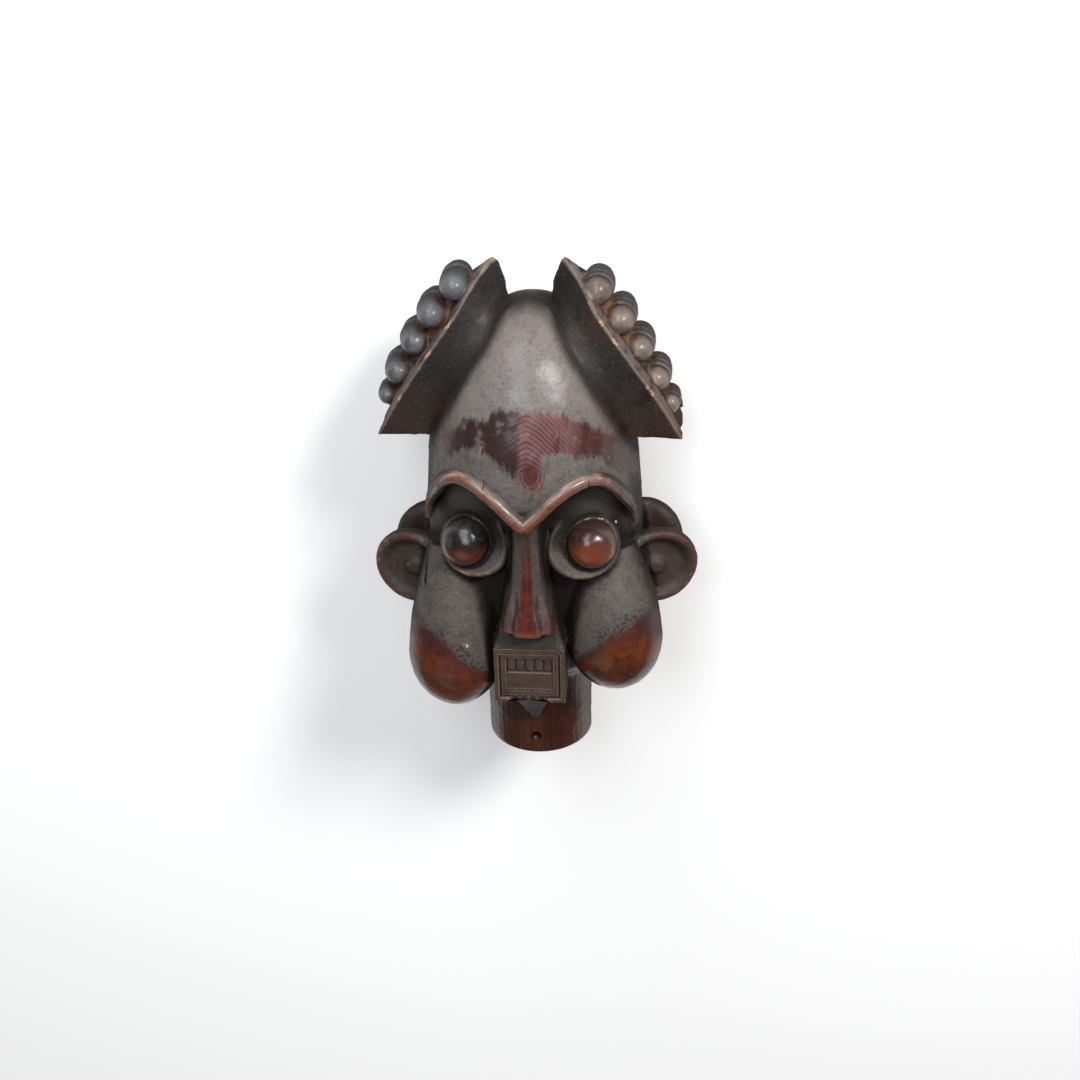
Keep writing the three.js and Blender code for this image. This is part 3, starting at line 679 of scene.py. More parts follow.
def carve(mesh):
    # evens the voxel steps, fills the inner corners as a carver leaves them, and lays in the finer relief
    p, edges = readMesh(mesh)
    count = len(p)
    crisp = fineDetail(p)
    inHollow = np.hypot(p[:, 0], p[:, 2]) < headSizes["neckRadius"] - headSizes["neckWall"] + 3
    for n in range(block["evenRounds"]):
        weight = np.where(n == 0, 0.5, 0.5 * (1 - 0.75 * crisp))
        p = p + (neighbourMean(p, edges, count) - p) * weight[:, None]
    fillet = (1 - crisp) * np.where(inHollow & (p[:, 1] < headSizes["hollowDepth"] + 3), 0, 1)
    fillet *= 1 - 0.85 * within(p[:, 1], 243, 287, 12) * within(np.abs(p[:, 0]), -99, 84, 8)
    for n in range(block["filletRounds"]):
        if n % block["normalsEvery"] == 0:
            normals = normalsOf(mesh, p)
        out = np.einsum("ij,ij->i", neighbourMean(p, edges, count) - p, normals)
        p = p + normals * (np.maximum(out, 0) * block["filletShare"] * fillet)[:, None]
    for n in range(block["lastRounds"]):
        p = p + (neighbourMean(p, edges, count) - p) * (0.35 * (1 - 0.9 * crisp))[:, None]
    normals = normalsOf(mesh, p)
    return p + normals * relief(p)[:, None]


def waves(p, pitch, seed):
    # a smooth irregular field in -1..1: products of sines in turned directions
    rng = np.random.default_rng(seed)
    total = np.zeros(len(p))
    for n in range(5):
        direction = unit(rng.normal(size=(3, 3)))
        phase = rng.uniform(0, 6.28, 3)
        q = p @ direction.T * (2 * math.pi / (pitch * rng.uniform(0.7, 1.4)))
        total += np.sin(q[:, 0] + phase[0]) * np.sin(q[:, 1] + phase[1] + np.sin(q[:, 2] + phase[2]))
    return total / 2.6


# Where the wear and the finishes lie, in millimetres. The tables are x, y pairs unless they say otherwise.
worn = {
    # pale chips: x, y, z and length along y
    "chips": [[-48.7, 131.9, 81.7, 3.0], [66, 223, 43, 2.0]],
    # chips along the blades' edges: side, share of the edge, half length
    "edgeChips": [[-1, 0.62, 8], [-1, 0.83, 3], [-1, 0.48, 5], [1, 0.47, 6], [1, 0.56, 5], [1, 0.79, 5]],
    # cracks, the ear's first: x, lowest and highest y, sway, its pitch, run-out at the ends
    "cracks": [[-84, 170, 190, 1.2, 9, 6], [-29, 274, 281, 0.5, 1, 3], [48, 273, 280, 0.5, 1, 3]],
    "knot": [6, 288], "ringPitch": 3.7, "seenSlope": 0.53,
    # the rubbed band's upper and lower edge, as seen
    "bandTop": [[-66, 262], [-60, 274], [-35, 289], [-27, 284], [-20, 292], [3, 294], [37, 287], [55, 281],
                [72, 270], [84, 262]],
    "bandFoot": [[-66, 262], [-58, 249], [-40, 258], [-28, 252], [-16, 244], [3, 250], [28, 253], [55, 252],
                 [70, 243], [84, 236]],
    # the nose: y and half width of the red ridge, y and depth from which it is on the front
    "ridgeHalf": [[148, 8.5], [160, 7.6], [180, 5.2], [205, 4.2], [247, 3.6]],
    "ridgeFront": [[148, 90], [163, 88], [205, 80], [247, 85]],
    # the worn end of the right cheek, and how far the red border stands over each worn end
    "rightFoot": [[30, 66], [42, 78], [63, 93], [89, 100], [105, 100]],
    "leftRed": [[-98, 17], [-70, 15], [-50, 3]], "rightRed": [[50, 3], [73, 9], [99, 24]],
    # how wide the surroundings are taken for edges, corners and hollows
    "edgeShare": 2.4, "nearShare": 7, "farShare": 19,
}


def tableAt(name, value):
    return np.interp(value, *np.array(worn[name], float).T)


def crackAt(n, x, y, wide):
    # 1 along a crack that sways about its x between two heights
    middle, low, high, sway, pitch, runOut = worn["cracks"][n]
    return bell(x - middle - sway * np.sin(y / pitch), wide) * within(y, low, high, runOut)


def relief(p):
    # millimetres outward: hand-carved unevenness, nostril grooves, tool lines on the neck, short cracks
    x, y, z = p.T
    ax, az = np.abs(x), np.abs(z)
    lift = 0.4 * waves(p, 62, 3) + 0.16 * waves(p, 19, 5) + 0.08 * waves(p, 6.5, 8)
    nostril = bell(ax - mix(8.5, 12.5, smooth((176 - y) / 26)), 1.7)
    lift -= 2.2 * (nostril * within(y, 149, 180, 14) * smooth((az - 80) / 5))
    neck = within(y, -5, 76, 6) * smooth((np.hypot(x, z) - 38) / 2)
    angle = np.arctan2(x, z)
    lift -= neck * 0.14 * (0.5 + 0.5 * np.sin(angle * 47 + 2.5 * np.sin(y / 30))) ** 4
    lift -= 1.5 * crackAt(0, x, y, 0.9) * smooth((z - 5) / 10)
    for n in (1, 2):
        lift -= 0.4 * crackAt(n, x, y, 0.5) * smooth((z - 60) / 8)
    rest = smooth((z + lie["restDepth"] - 0.5) / 1.5) * smooth((y - 0.5) / 3)
    return lift * rest


def heldIn(p):
    # flat where it lies and at the rim, and never past the solid's own box
    low, high = (np.array(corner) * 1000 for corner in (maskBox[0], maskBox[1]))
    low = low - [lie["midX"] * 1000, lie["rimY"] * 1000, lie["restDepth"]]
    high = high - [lie["midX"] * 1000, lie["rimY"] * 1000, lie["restDepth"]]
    return np.clip(p, low, high)


def thinned(mesh):
    mesh.calc_loop_triangles()
    piece = linked("thinForm", mesh)
    thin = piece.modifiers.new("fewer", "DECIMATE")
    thin.ratio = min(1, block["triangles"] / len(mesh.loop_triangles))
    result = settled(piece)
    bpy.data.objects.remove(piece)
    return result


def trianglesOf(mesh):
    mesh.calc_loop_triangles()
    triangles = np.empty(len(mesh.loop_triangles) * 3, np.int32)
    mesh.loop_triangles.foreach_get("vertices", triangles)
    return triangles.reshape(-1, 3)


air = {"step": 1.6, "pad": 40}


class Surroundings:
    # How much of the space round a point is wood: a voxel copy of the block, blurred by a Gaussian of a
    # given width. It is 0.5 on a flat surface, less on edges and swellings, more in corners and hollows.
    def __init__(self, points, triangles):
        self.step, pad = air["step"], air["pad"]
        self.low = points.min(0) - pad
        count = np.ceil((points.max(0) + pad - self.low) / self.step).astype(int)
        frameOfGrid = openvdb.createLinearTransform(voxelSize=self.step)
        grid = openvdb.FloatGrid.createLevelSetFromPolygons(
            (points - self.low).astype(np.float32), triangles=triangles.astype(np.uint32),
            transform=frameOfGrid, halfWidth=3.0)
        distance = np.zeros(count, np.float32)
        grid.copyToArray(distance, ijk=(0, 0, 0))
        self.size = distance.shape
        self.spectrum = np.fft.rfftn(np.clip(0.5 - distance / self.step, 0, 1))

    def share(self, points, width):
        fx, fy = (np.fft.fftfreq(n, self.step) for n in self.size[:2])
        fz = np.fft.rfftfreq(self.size[2], self.step)
        squared = fx[:, None, None] ** 2 + fy[None, :, None] ** 2 + fz ** 2
        wood = np.fft.irfftn(self.spectrum * np.exp(-2 * (math.pi * width) ** 2 * squared), self.size)
        place = (points - self.low) / self.step
        cell = np.clip(place.astype(int), 0, np.array(self.size) - 2)
        t = np.clip(place - cell, 0, 1)
        total = np.zeros(len(points))
        for corner in range(8):
            bits = np.array([corner & 1, corner >> 1 & 1, corner >> 2])
            weight = np.prod(np.where(bits, t, 1 - t), axis=1)
            total += weight * wood[tuple((cell + bits).T)]
        return total


def nearestOn(line, x, y):
    # for each point the number of the nearest point of a line, and the squared distance to it
    distance, best = np.full(len(x), 1e9), np.zeros(len(x), int)
    for n, (lineX, lineY) in enumerate(line[:, :2]):
        away = (x - lineX) ** 2 + (y - lineY) ** 2
        best = np.where(away < distance, n, best)
        distance = np.minimum(distance, away)
    return best, distance


def fieldsAt(p, normals, wood):
    x, y, z = p.T
    ax, az = np.abs(x), np.abs(z)
    seen = y - worn["seenSlope"] * az  # height as seen from in front and above, which the wear follows
    fields = {name: wood.share(p, worn[name]) for name in ("edgeShare", "nearShare", "farShare")}
    fields["upward"] = normals[:, 2]
    # the rubbed band over the forehead: how far inside it, and the rise of its growth rings above the knot
    # ring = y + 0.6 |x| + 0.012 x^2 above the knot, the distance from the knot below it
    bandIn = np.minimum(tableAt("bandTop", x) - seen, seen - tableAt("bandFoot", x))
    knotX, knotY = worn["knot"]
    # the knot is an upright oval with a hook to its left
    knotAway = np.minimum(np.hypot((x - knotX) / 0.75, (y - knotY) / 1.15),
                          np.hypot((x - knotX + 15) / 1.1, y - knotY - 9) + 4)
    fields["bandIn"] = np.where(z > 5, np.maximum(bandIn, 13 - knotAway * 0.8), -30)
    fields["knotAway"] = np.where(z > 5, knotAway, 60)
    across = np.sqrt((x - 3) ** 2 + 5)
    fields["ringRise"] = np.where(y > knotY, y - knotY + 0.6 * across + 0.012 * across ** 2, knotAway + 2)
    # the brow's own height, over and under its line
    fields["browRise"] = np.where(ax < 86, y - browHeight(ax), 40)
    foreheadZ = foreheadPoint(np.clip(x, -browReach, browReach), faces[0])[:, 2]
    fields["browStand"] = az - foreheadZ * np.where(z < 0, faces[1]["foreheadShare"], 1)
    # the nose: how far beside its ridge, and how high over its lower end
    nose = (az > 78) & (y > 144) & (y < 246) & (ax < 25)
    onFront = nose & (az > tableAt("ridgeFront", y))
    fields["ridgeAside"] = np.where(onFront, ax - tableAt("ridgeHalf", y), 30)
    fields["noseLow"] = np.where(nose, y - 148, 60)
    # the cheeks' worn ends
    foot = np.where(x < 0, 75 - 0.6 * (x + 62.7), tableAt("rightFoot", x))
    fields["cheekRise"] = np.where((ax > 26) & (y < 168), seen - foot, 60)
    border = np.where(x < 0, tableAt("leftRed", x), tableAt("rightRed", x))
    fields["redRise"] = np.where((ax > 26) & (y < 175), seen - foot - border, 60)
    fields["neckRise"] = np.where(np.hypot(x, z) < 47, y - 74, 30)
    fields["inBore"] = smooth((36 - np.hypot(x, z)) / 1.5) * (y < headSizes["hollowDepth"] + 3) * (y < 170)
    ex, ey, ez = eyeSizes["centre"]
    fields["ballAway"] = np.sqrt((ax - ex - 9) ** 2 + (y - ey - 6) ** 2 + (az - ez - 5) ** 2)
    fields["lidAway"] = np.hypot(ax - ex - 4, (y - ey - 2) * 1.02)
    fields["earIn"] = smooth((ax - 90) / 6) * within(y, 132, 210, 6)
    fields["rearEar"] = fields["earIn"] * smooth((-z - 2) / 6)
    # where a painted shade darkens the socket beside the nose
    fields["socket"] = bell(np.hypot(ax - 22, y - 240), 16) * smooth((az - 40) / 9)
    # where the wood round the eyes is lightened and the painted shade eased
    fields["eyeBowl"] = bell(np.hypot(ax - 50, y - 250), 27) * smooth((az - 40) / 9)
    # the rubbed middle of the crown: glossier, and given a painted sheen in the material
    fields["polishAndSheen"] = bell(np.hypot((x + 3) * 0.85, (y - 334) * 0.7), 40) * smooth(z / 20)
    fields["scratch"] = bell(x + 31.5 + 0.8 * np.sin(y / 5), 0.9) * within(y, 296, 326, 4) * (z > 20)
    # the crests: how far out of the front edge's line, and how far behind that edge
    station = headFirst(np.clip(y, 72, 388))[:, 1]
    crest = np.maximum(smooth((y - 286) / 3) * smooth((ax - station + 1) / 7), smooth((y - 389) / 3))
    share = np.linspace(0, 1, 220)
    edge, outX, outY = edgeFrame(share)
    best, distance = nearestOn(edge, ax, y)
    root = curveThrough(crestSizes["root"])[0](share)
    leave = edge - root
    leave /= np.hypot(leave[:, 0], leave[:, 1])[:, None]
    at = nearestOn(root, ax, y)[0]
    rootOut = (ax - root[at, 0]) * leave[at, 0] + (y - root[at, 1]) * leave[at, 1]
    fields["rootOut"] = np.where(y > 286, rootOut, -30)
    fields["crest"] = crest
    fields["crestOut"] = (ax - edge[best, 0]) * outX[best] + (y - edge[best, 1]) * outY[best]
    fields["crestBack"] = edge[best, 2] - az
    fields["rightSide"] = smooth((x + 8) / 16)
    inKnob = np.zeros(len(p))
    for side in (-1, 1):
        for size in crestSizes["knobs"]:
            # 1 where (away / r)^2.2 + (|z| / h)^2.6 is near 1, as it is on the barrel
            centre = knobPlace(side, size)[0]
            away = np.hypot(x - centre[0], y - centre[1]) / size[1]
            form = away ** 2.2 + np.minimum(az / (size[1] * crestSizes["knobLength"] / 2), 3) ** 2.6
            inKnob = np.maximum(inKnob, smooth((1.3 - form) / 0.22))
    fields["inKnob"] = inKnob
    chip = np.zeros(len(p))
    for cx, cy, cz, size in worn["chips"]:
        chip = np.maximum(chip, 1.6 - np.sqrt((x - cx) ** 2 + (y - cy) ** 2 + ((z - cz) * 0.6) ** 2) / size)
    for side, at, long in worn["edgeChips"]:
        along = np.abs(share[best] - at) * 190
        beside = np.sqrt(distance) / 2.2 + np.abs(az - edge[best, 2]) / 3
        chip = np.maximum(chip, np.where(side * x > 0, 1.5 - np.maximum(along / long, beside), 0))
    fields["chip"] = np.where(z > 0, chip, 0)
    crack = crackAt(0, x, y, 1.1) * (z > 0)
    for n in (1, 2):
        crack = np.maximum(crack, crackAt(n, x, y, 0.45) * (z > 60))
    fields["crack"] = crack
    s = mouthSizes
    slab = within(x, -27, 27, 2) * within(y, s["top"] - 3, noseSizes["tip"], 2)
    fields["slabIn"] = slab * smooth((az - 68) / 4)
    foot = s["top"] - s["height"]
    wedge = 0.8 * within(x, -17, 17, 2) * within(y, foot - 26, foot + 1, 1)
    fields["mouthIn"] = wedge * smooth((az - 66) / 3)
    drilled = np.hypot(x, np.maximum(np.abs(y - headSizes["lashHeight"] - 2.2) - 2.2, 0))
    inWall = np.hypot(x, z) < headSizes["neckRadius"] - 0.4
    fields["lashIn"] = (drilled < headSizes["lashHole"] / 2 + 0.7) * inWall
    fields["groove"] = np.zeros(len(p))
    return fields


def storeFields(mesh, fields):
    for name, values in fields.items():
        layer = mesh.attributes.new(name, "FLOAT", "POINT")
        layer.data.foreach_set("value", np.asarray(values, np.float32))


def makeBlock():
    mesh = carvedBlock()
    print("one block:", len(mesh.vertices), "points")
    putPoints(mesh, heldIn(carve(mesh)))
    final = thinned(mesh)
    final.name = "maskCarving"
    p = readMesh(final)[0]
    normals = normalsOf(final, p)
    wood = Surroundings(p, trianglesOf(final))
    print("surroundings measured on a grid of", wood.size)
    storeFields(final, fieldsAt(p, normals, wood))
    putPoints(final, toWorld(p))
    final.shade_smooth()
    print("block thinned:", len(final.vertices), "points,", len(final.polygons), "faces")
    return final, wood


def makeMouth(name, face, wood):
    shell, groove = mouthShell(face)
    points = shell[0]
    mesh = meshOf(name, [shell])
    normals = normalsOf(mesh, points)
    fields = fieldsAt(points, normals, wood)
    s = mouthSizes
    d = np.minimum(np.minimum(s["half"] - np.abs(points[:, 0]), points[:, 1] - s["top"] + s["height"]),
                   s["top"] - points[:, 1])
    onFront = np.abs(points[:, 2]) > s["front"] - 6
    fields["mouthIn"] = np.where(onFront, 1, 0.0)
    fields["groove"] = groove * onFront
    fields["edgeShare"] = 0.5 - np.clip(-groove, 0, 1) * 0.12
    fields["edgeShare"] = np.where(d < 0.8, 0.36, fields["edgeShare"])
    fields["nearShare"] = np.full(len(points), 0.5)
    fields["cheekRise"] = fields["redRise"] = np.full(len(points), 60.0)
    storeFields(mesh, fields)
    putPoints(mesh, toWorld(points))
    mesh.shade_smooth()
    return mesh


def dressed(name, mesh):
    piece = linked(name, mesh)
    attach(piece, "root")
    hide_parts("janus_mask")
    return piece


blockMesh, wood = makeBlock()
pieces = [dressed("maskCarving", blockMesh)]
for name, face in (("frontMouth", faces[0]), ("rearMouth", faces[1])):
    pieces.append(dressed(name, makeMouth(name, face, wood)))
print("pieces:", [piece.name for piece in pieces])


# Materials: node trees written as expressions

class Sock:
    # one output socket, with the arithmetic of Math nodes
    def __init__(self, tree, socket):
        self.tree = tree
        self.socket = socket

    def math(self, operation, *others, clamp=False):
        node = self.tree.nodes.new("ShaderNodeMath")
        node.operation = operation
        node.use_clamp = clamp
        for slot, value in zip(node.inputs, (self, *others)):
            if isinstance(value, Sock):
                self.tree.links.new(value.socket, slot)
            else:
                slot.default_value = value
        return Sock(self.tree, node.outputs[0])

    def __add__(self, other):
        return self.math("ADD", other)

    def __mul__(self, other):
        return self.math("MULTIPLY", other)

    def __sub__(self, other):
        return self.math("SUBTRACT", other)

    def __rsub__(self, other):
        return self * -1.0 + other

    __radd__ = __add__
    __rmul__ = __mul__


class Finish:
    # a material, the few ways in which its nodes are made, and the colour that its layers have so far
    def __init__(self, name, look=None):
        self.look = {tone: screen(*value) for tone, value in (look or {}).items()}
        self.colour = None
        self.material = bpy.data.materials.new(name)
        self.material.use_nodes = True
        self.tree = self.material.node_tree
        self.shader = self.tree.nodes["Principled BSDF"]
        self.place = Sock(self.tree, self.tree.nodes.new("ShaderNodeTexCoord").outputs["Object"])

    def node(self, kind, settings, inputs, output=0):
        node = self.tree.nodes.new(kind)
        for key, value in settings.items():
            setattr(node, key, value)
        for key, value in inputs.items():
            if isinstance(value, Sock):
                self.tree.links.new(value.socket, node.inputs[key])
            else:
                node.inputs[key].default_value = value
        return Sock(self.tree, node.outputs[output])

    def field(self, name):
        return self.node("ShaderNodeAttribute", {"attribute_name": name}, {}, "Fac")

    def stretched(self, x, y, z):
        return self.node("ShaderNodeMapping", {}, {"Vector": self.place, "Scale": (x, y, z)})

    def noise(self, scale, detail=4.0, rough=0.55, place=None):
        inputs = {"Vector": place or self.place, "Scale": scale, "Detail": detail, "Roughness": rough}
        return self.node("ShaderNodeTexNoise", {}, inputs, "Fac")

    def step(self, value, low, high):
        # 0 below low, 1 above high
        return self.node("ShaderNodeMapRange", {"interpolation_type": "SMOOTHSTEP"},
                         {"Value": value, "From Min": low, "From Max": high})

    def fall(self, value, low, high):
        # 1 below low, 0 above high
        return self.node("ShaderNodeMapRange", {"interpolation_type": "SMOOTHSTEP"},
                         {"Value": value, "From Min": low, "From Max": high, "To Min": 1.0, "To Max": 0.0})

    def blend(self, amount, first, second):
        # from the first colour to the second; each is a name in the look or an output
        first, second = (self.look.get(tone, tone) for tone in (first, second))
        return self.node("ShaderNodeMix", {"data_type": "RGBA"}, {0: amount, 6: first, 7: second}, 2)

    def lay(self, amount, tone):
        self.colour = self.blend(amount, self.colour, tone)

    def put(self, name, value):
        self.tree.links.new(value.socket, self.shader.inputs[name])

    def set(self, values):
        for name, value in values.items():
            self.shader.inputs[name].default_value = value


def screen(r, g, b):
    # a colour as it looks on a screen, 0 to 255, in the shader's linear values
    channel = [c / 255 for c in (r, g, b)]
    return tuple(c / 12.92 if c < 0.04045 else ((c + 0.055) / 1.055) ** 2.4 for c in channel) + (1.0,)


woodLook = {
    # colours as they look on a screen
    "dark": (40, 31, 27), "brown": (58, 43, 35), "dust": (86, 82, 78),
    # the near black below is that of cracks and pits, and also the colour of the painted shade
    "dustPale": (122, 117, 110), "creviceAndShade": (15, 10, 8), "black": (17, 13, 13),
    "plum": (43, 18, 20), "ring": (38, 17, 17), "rubbed": (102, 66, 65),
    "rubbedRight": (54, 20, 16), "knot": (84, 28, 18),
    "browLow": (112, 58, 30), "browTopAndHighlight": (118, 94, 84), "beige": (160, 130, 100),
    "nose": (84, 26, 16), "noseDark": (46, 17, 13), "noseTip": (116, 54, 25),
    "cheekEnd": (92, 42, 13), "cheekDeep": (52, 24, 10), "cheekRed": (70, 24, 17),
    "neck": (78, 33, 13), "neckDark": (42, 21, 12), "bore": (52, 34, 22),
    "ear": (52, 39, 32), "earRim": (70, 40, 31), "blade": (31, 26, 24),
    "lip": (112, 100, 92), "knobLeft": (88, 90, 94), "knobRight": (116, 100, 92),
    "bed": (116, 78, 50), "eye": (23, 16, 17), "eyeLow": (84, 36, 19),
    "eyeRight": (52, 26, 25), "eyeRightLow": (104, 50, 25), "lid": (78, 70, 60),
    "mouth": (68, 54, 46), "mouthWorn": (106, 86, 76), "mouthRecessShade": (42, 31, 26),
    "chip": (166, 128, 92), "fleck": (206, 188, 150),
    "paintedSheen": (128, 120, 124), "eyeDust": (84, 76, 64), "bladeLow": (60, 38, 24), "warm": (94, 60, 41),
}


def carvedWood():
    f = Finish("carvedWood", woodLook)
    large, medium, small = f.noise(13, 5, 0.6), f.noise(42, 6, 0.62), f.noise(150, 5, 0.6)
    tiny, grain = f.noise(430, 3, 0.6), f.noise(820, 2, 0.5)
    fibre = f.noise(330, 4, 0.6, f.stretched(1, 0.05, 1))
    streak = f.noise(95, 5, 0.6, f.stretched(1, 0.12, 1))
    ragged = (medium - 0.5) * 16.0 + (small - 0.5) * 9.0 + (large - 0.5) * 8.0
    tongues = (f.noise(75, 5, 0.65, f.stretched(1, 0.25, 0.4)) - 0.5) * 34.0
    right = f.field("rightSide")

    edge = f.fall(f.field("edgeShare") + (medium - 0.5) * 0.05, 0.35, 0.425)
    near, far = f.field("nearShare"), f.field("farShare")
    hollow = f.step(near + (medium - 0.5) * 0.05, 0.51, 0.6)
    deep = f.step(far + (medium - 0.5) * 0.04, 0.49, 0.64)
    corner = f.step(f.field("edgeShare") + (small - 0.5) * 0.04, 0.53, 0.6)
    # side is 1 where the surface turns away from up; below it paints shade on such sides
    side = f.fall(f.field("upward"), -0.05, 0.72)

    # dusty patina over dark wood, thicker where the surface looks up, with pale and dark grains; thinner on the
    # sides and in deep hollows, partly a painted shade, and thicker at the middle of the crown, a painted light
    crown = f.step(f.field("polishAndSheen"), 0.0, 0.5) * 0.25
    dusty = f.step(large * 0.55 + medium * 0.35 + small * 0.2 - deep * 0.3 - side * 0.2 + crown, 0.3, 0.56)
    f.colour = f.blend(dusty, "dark", "dust")
    f.lay(f.step(grain * 0.5 + tiny * 0.5, 0.45, 0.64) * 0.55 * dusty, "dustPale")
    f.lay(f.step(tiny * 0.45 + small * 0.55, 0.45, 0.63) * 0.55, "dark")
    sideways, upward = (f.node("ShaderNodeSeparateXYZ", {}, {"Vector": f.place}, n) for n in (0, 1))
    tall = (upward - lie["rimY"]) * 1000.0
    f.lay(f.fall(tall + (medium - 0.5) * 40.0, 225.0, 300.0) * 0.38, "dark")
    pitted = f.step(large * 0.5 + medium * 0.5 + f.fall(f.field("redRise"), 0.0, 26.0) * 0.2, 0.6, 0.72)
    f.lay(pitted * f.step(tiny * 0.6 + grain * 0.4, 0.46, 0.58) * 0.8, "creviceAndShade")
    f.lay(f.step(streak * 0.4 + large * 0.6, 0.5, 0.64) * 0.35, "brown")

    # the rubbed band: dark plum to the left, rosy in the middle, redder to the right, with growth rings
    bandIn = f.field("bandIn")
    fine = (f.noise(240, 5, 0.65, f.stretched(1, 0.2, 0.45)) - 0.5) * 24.0
    bare = f.step(bandIn + ragged * 0.35 + tongues * 0.55 + fine * 0.75, -1.5, 5.0)
    bare = bare * (1.0 - f.step(medium * 0.6 + tongues * 0.012 + small * 0.4, 0.56, 0.66) * 0.75)
    band = bare.math("MAXIMUM", f.fall(f.field("knotAway") + (small - 0.5) * 7.0, 7.0, 11.0))
    rings = (f.field("ringRise") + (medium - 0.5) * 3.5) * (2 * math.pi / worn["ringPitch"])
    ring = f.step(rings.math("SINE") + (small - 0.5) * 1.6, 0.1, 1.0)
    ring = ring * f.fall(f.field("knotAway"), 24.0, 56.0)
    rubbed = f.blend(f.step(right + (large - 0.5) * 0.9 + tongues * 0.01, 0.0, 0.45), "plum", "rubbed")
    redder = f.step(sideways * 1000.0 + tongues * 0.9 + ragged * 0.6, 30.0, 50.0)
    rubbed = f.blend(redder, rubbed, "rubbedRight")
    rubbed = f.blend(ring * 0.75, rubbed, "ring")
    rubbed = f.blend(f.step(streak * 0.6 + fine * 0.017 + 0.2, 0.5, 0.66) * 0.7, rubbed, "plum")
    # a painted bluish sheen over the band, less of it to the right
    rubbed = f.blend(f.step(fine * -0.03 + medium, 0.56, 0.8) * (1.0 - right * 0.75) * 0.55, rubbed, "paintedSheen")
    rubbed = f.blend(f.step(tongues * 0.04 + right, 1.1, 1.6) * 0.6, rubbed, "browLow")
    rubbed = f.blend(f.step(small * 0.6 + tiny * 0.4, 0.54, 0.68) * 0.35, rubbed, "dust")
    knot = f.fall(f.field("knotAway") + (small - 0.5) * 14.0 + (medium - 0.5) * 8.0, 3.0, 12.0)
    knotTone = f.blend(f.step(tiny * 0.5 + small * 0.5, 0.44, 0.6), "knot", "ring")
    rubbed = f.blend(knot * 0.85, rubbed, f.blend(right, "ring", knotTone))
    f.lay(band * 0.93, rubbed)
    f.lay(f.field("scratch") * f.step(small, 0.3, 0.6) * 0.7, "dustPale")

    # the brow: polished underneath and along its front, its upper face lighter, partly a painted highlight, and
    # pale along its upper edge, partly wear and partly a painted highlight
    rise, stand = f.field("browRise"), f.field("browStand")
    brow = f.step(stand, 0.6, 2.2) * f.fall(rise, 5.0, 6.5) * f.step(rise, -9.0, -6.0)
    browTone = f.blend(f.step(rise + (medium - 0.5) * 6.0, -1.0, 2.0), "browLow", "browTopAndHighlight")
    along = f.noise(120, 5, 0.6, f.stretched(0.25, 0.6, 1))
    browTone = f.blend(f.step(along * 0.7 + small * 0.3, 0.44, 0.58) * 0.75, browTone, "nose")
    browTone = f.blend(f.step(tiny * 0.5 + small * 0.5, 0.52, 0.66) * 0.3, browTone, "dustPale")
    f.lay(brow * 0.95, browTone)
    # the pale line along the brow's upper edge: partly wear, partly a painted highlight
    rimWearAndHighlight = f.step(rise, 3.2, 4.4) * f.fall(rise, 4.8, 6.0) * f.step(stand, 0.0, 0.8)
    f.lay(rimWearAndHighlight * f.step(small + medium * 0.7, 0.72, 0.98) * 0.75, "beige")

    # the nose: a dark red ridge, orange at its tip
    ridge = f.fall(f.field("ridgeAside") + (small - 0.5) * 3.0 + (medium - 0.5) * 3.0, -1.6, 1.6)
    ridgeTone = f.blend(f.step(fibre * 0.6 + small * 0.4, 0.4, 0.62), "noseDark", "nose")
    f.lay(ridge * 0.95, ridgeTone)
    flank = f.fall(f.field("noseLow") + (medium - 0.5) * 20.0, 10.0, 34.0)
    f.lay(flank * f.step(fibre * 0.5 + small * 0.5, 0.44, 0.6) * 0.6, "nose")
    tip = f.fall(f.field("noseLow") + (small - 0.5) * 8.0, 1.0, 10.0)
    f.lay(tip * 0.8, "noseTip")

    # the cheeks: orange-brown worn ends under a dark red border
    red = f.fall(f.field("redRise") + ragged * 0.55, -4.0, 5.0)
    wornEnd = f.fall(f.field("cheekRise") + ragged * 0.6, -7.0, 6.0)
    redTone = f.blend(f.step(medium * 0.6 + small * 0.4, 0.42, 0.62), "plum", "cheekRed")
    f.lay(red * 0.88, redTone)
    ends = f.blend(f.step(medium * 0.6 + small * 0.25 + large * 0.25, 0.44, 0.64), "cheekDeep", "cheekEnd")
    ends = f.blend(f.step(tiny * 0.5 + small * 0.5, 0.56, 0.7) * 0.4, ends, "dark")
    f.lay(wornEnd * 0.93, ends)

    # neck, bore, ears
    neck = f.fall(f.field("neckRise"), -1.0, 1.0)
    neckTone = f.blend(f.step(fibre * 0.45 + medium * 0.55, 0.38, 0.66), "neckDark", "neck")
    f.lay(neck, neckTone)
    f.lay(f.field("inBore"), "bore")
    # the lash holes' insides laid near black: a painted shade
    f.lay(f.field("lashIn"), "creviceAndShade")
    ear = f.field("earIn")
    f.lay(ear * 0.6, "ear")
    rim = ear * f.fall(f.field("edgeShare") + (medium - 0.5) * 0.06, 0.39, 0.46)
    f.lay(rim * (1.0 - f.field("rearEar")) * 0.55, "earRim")
    f.lay(f.field("rearEar") * 0.7, "dark")

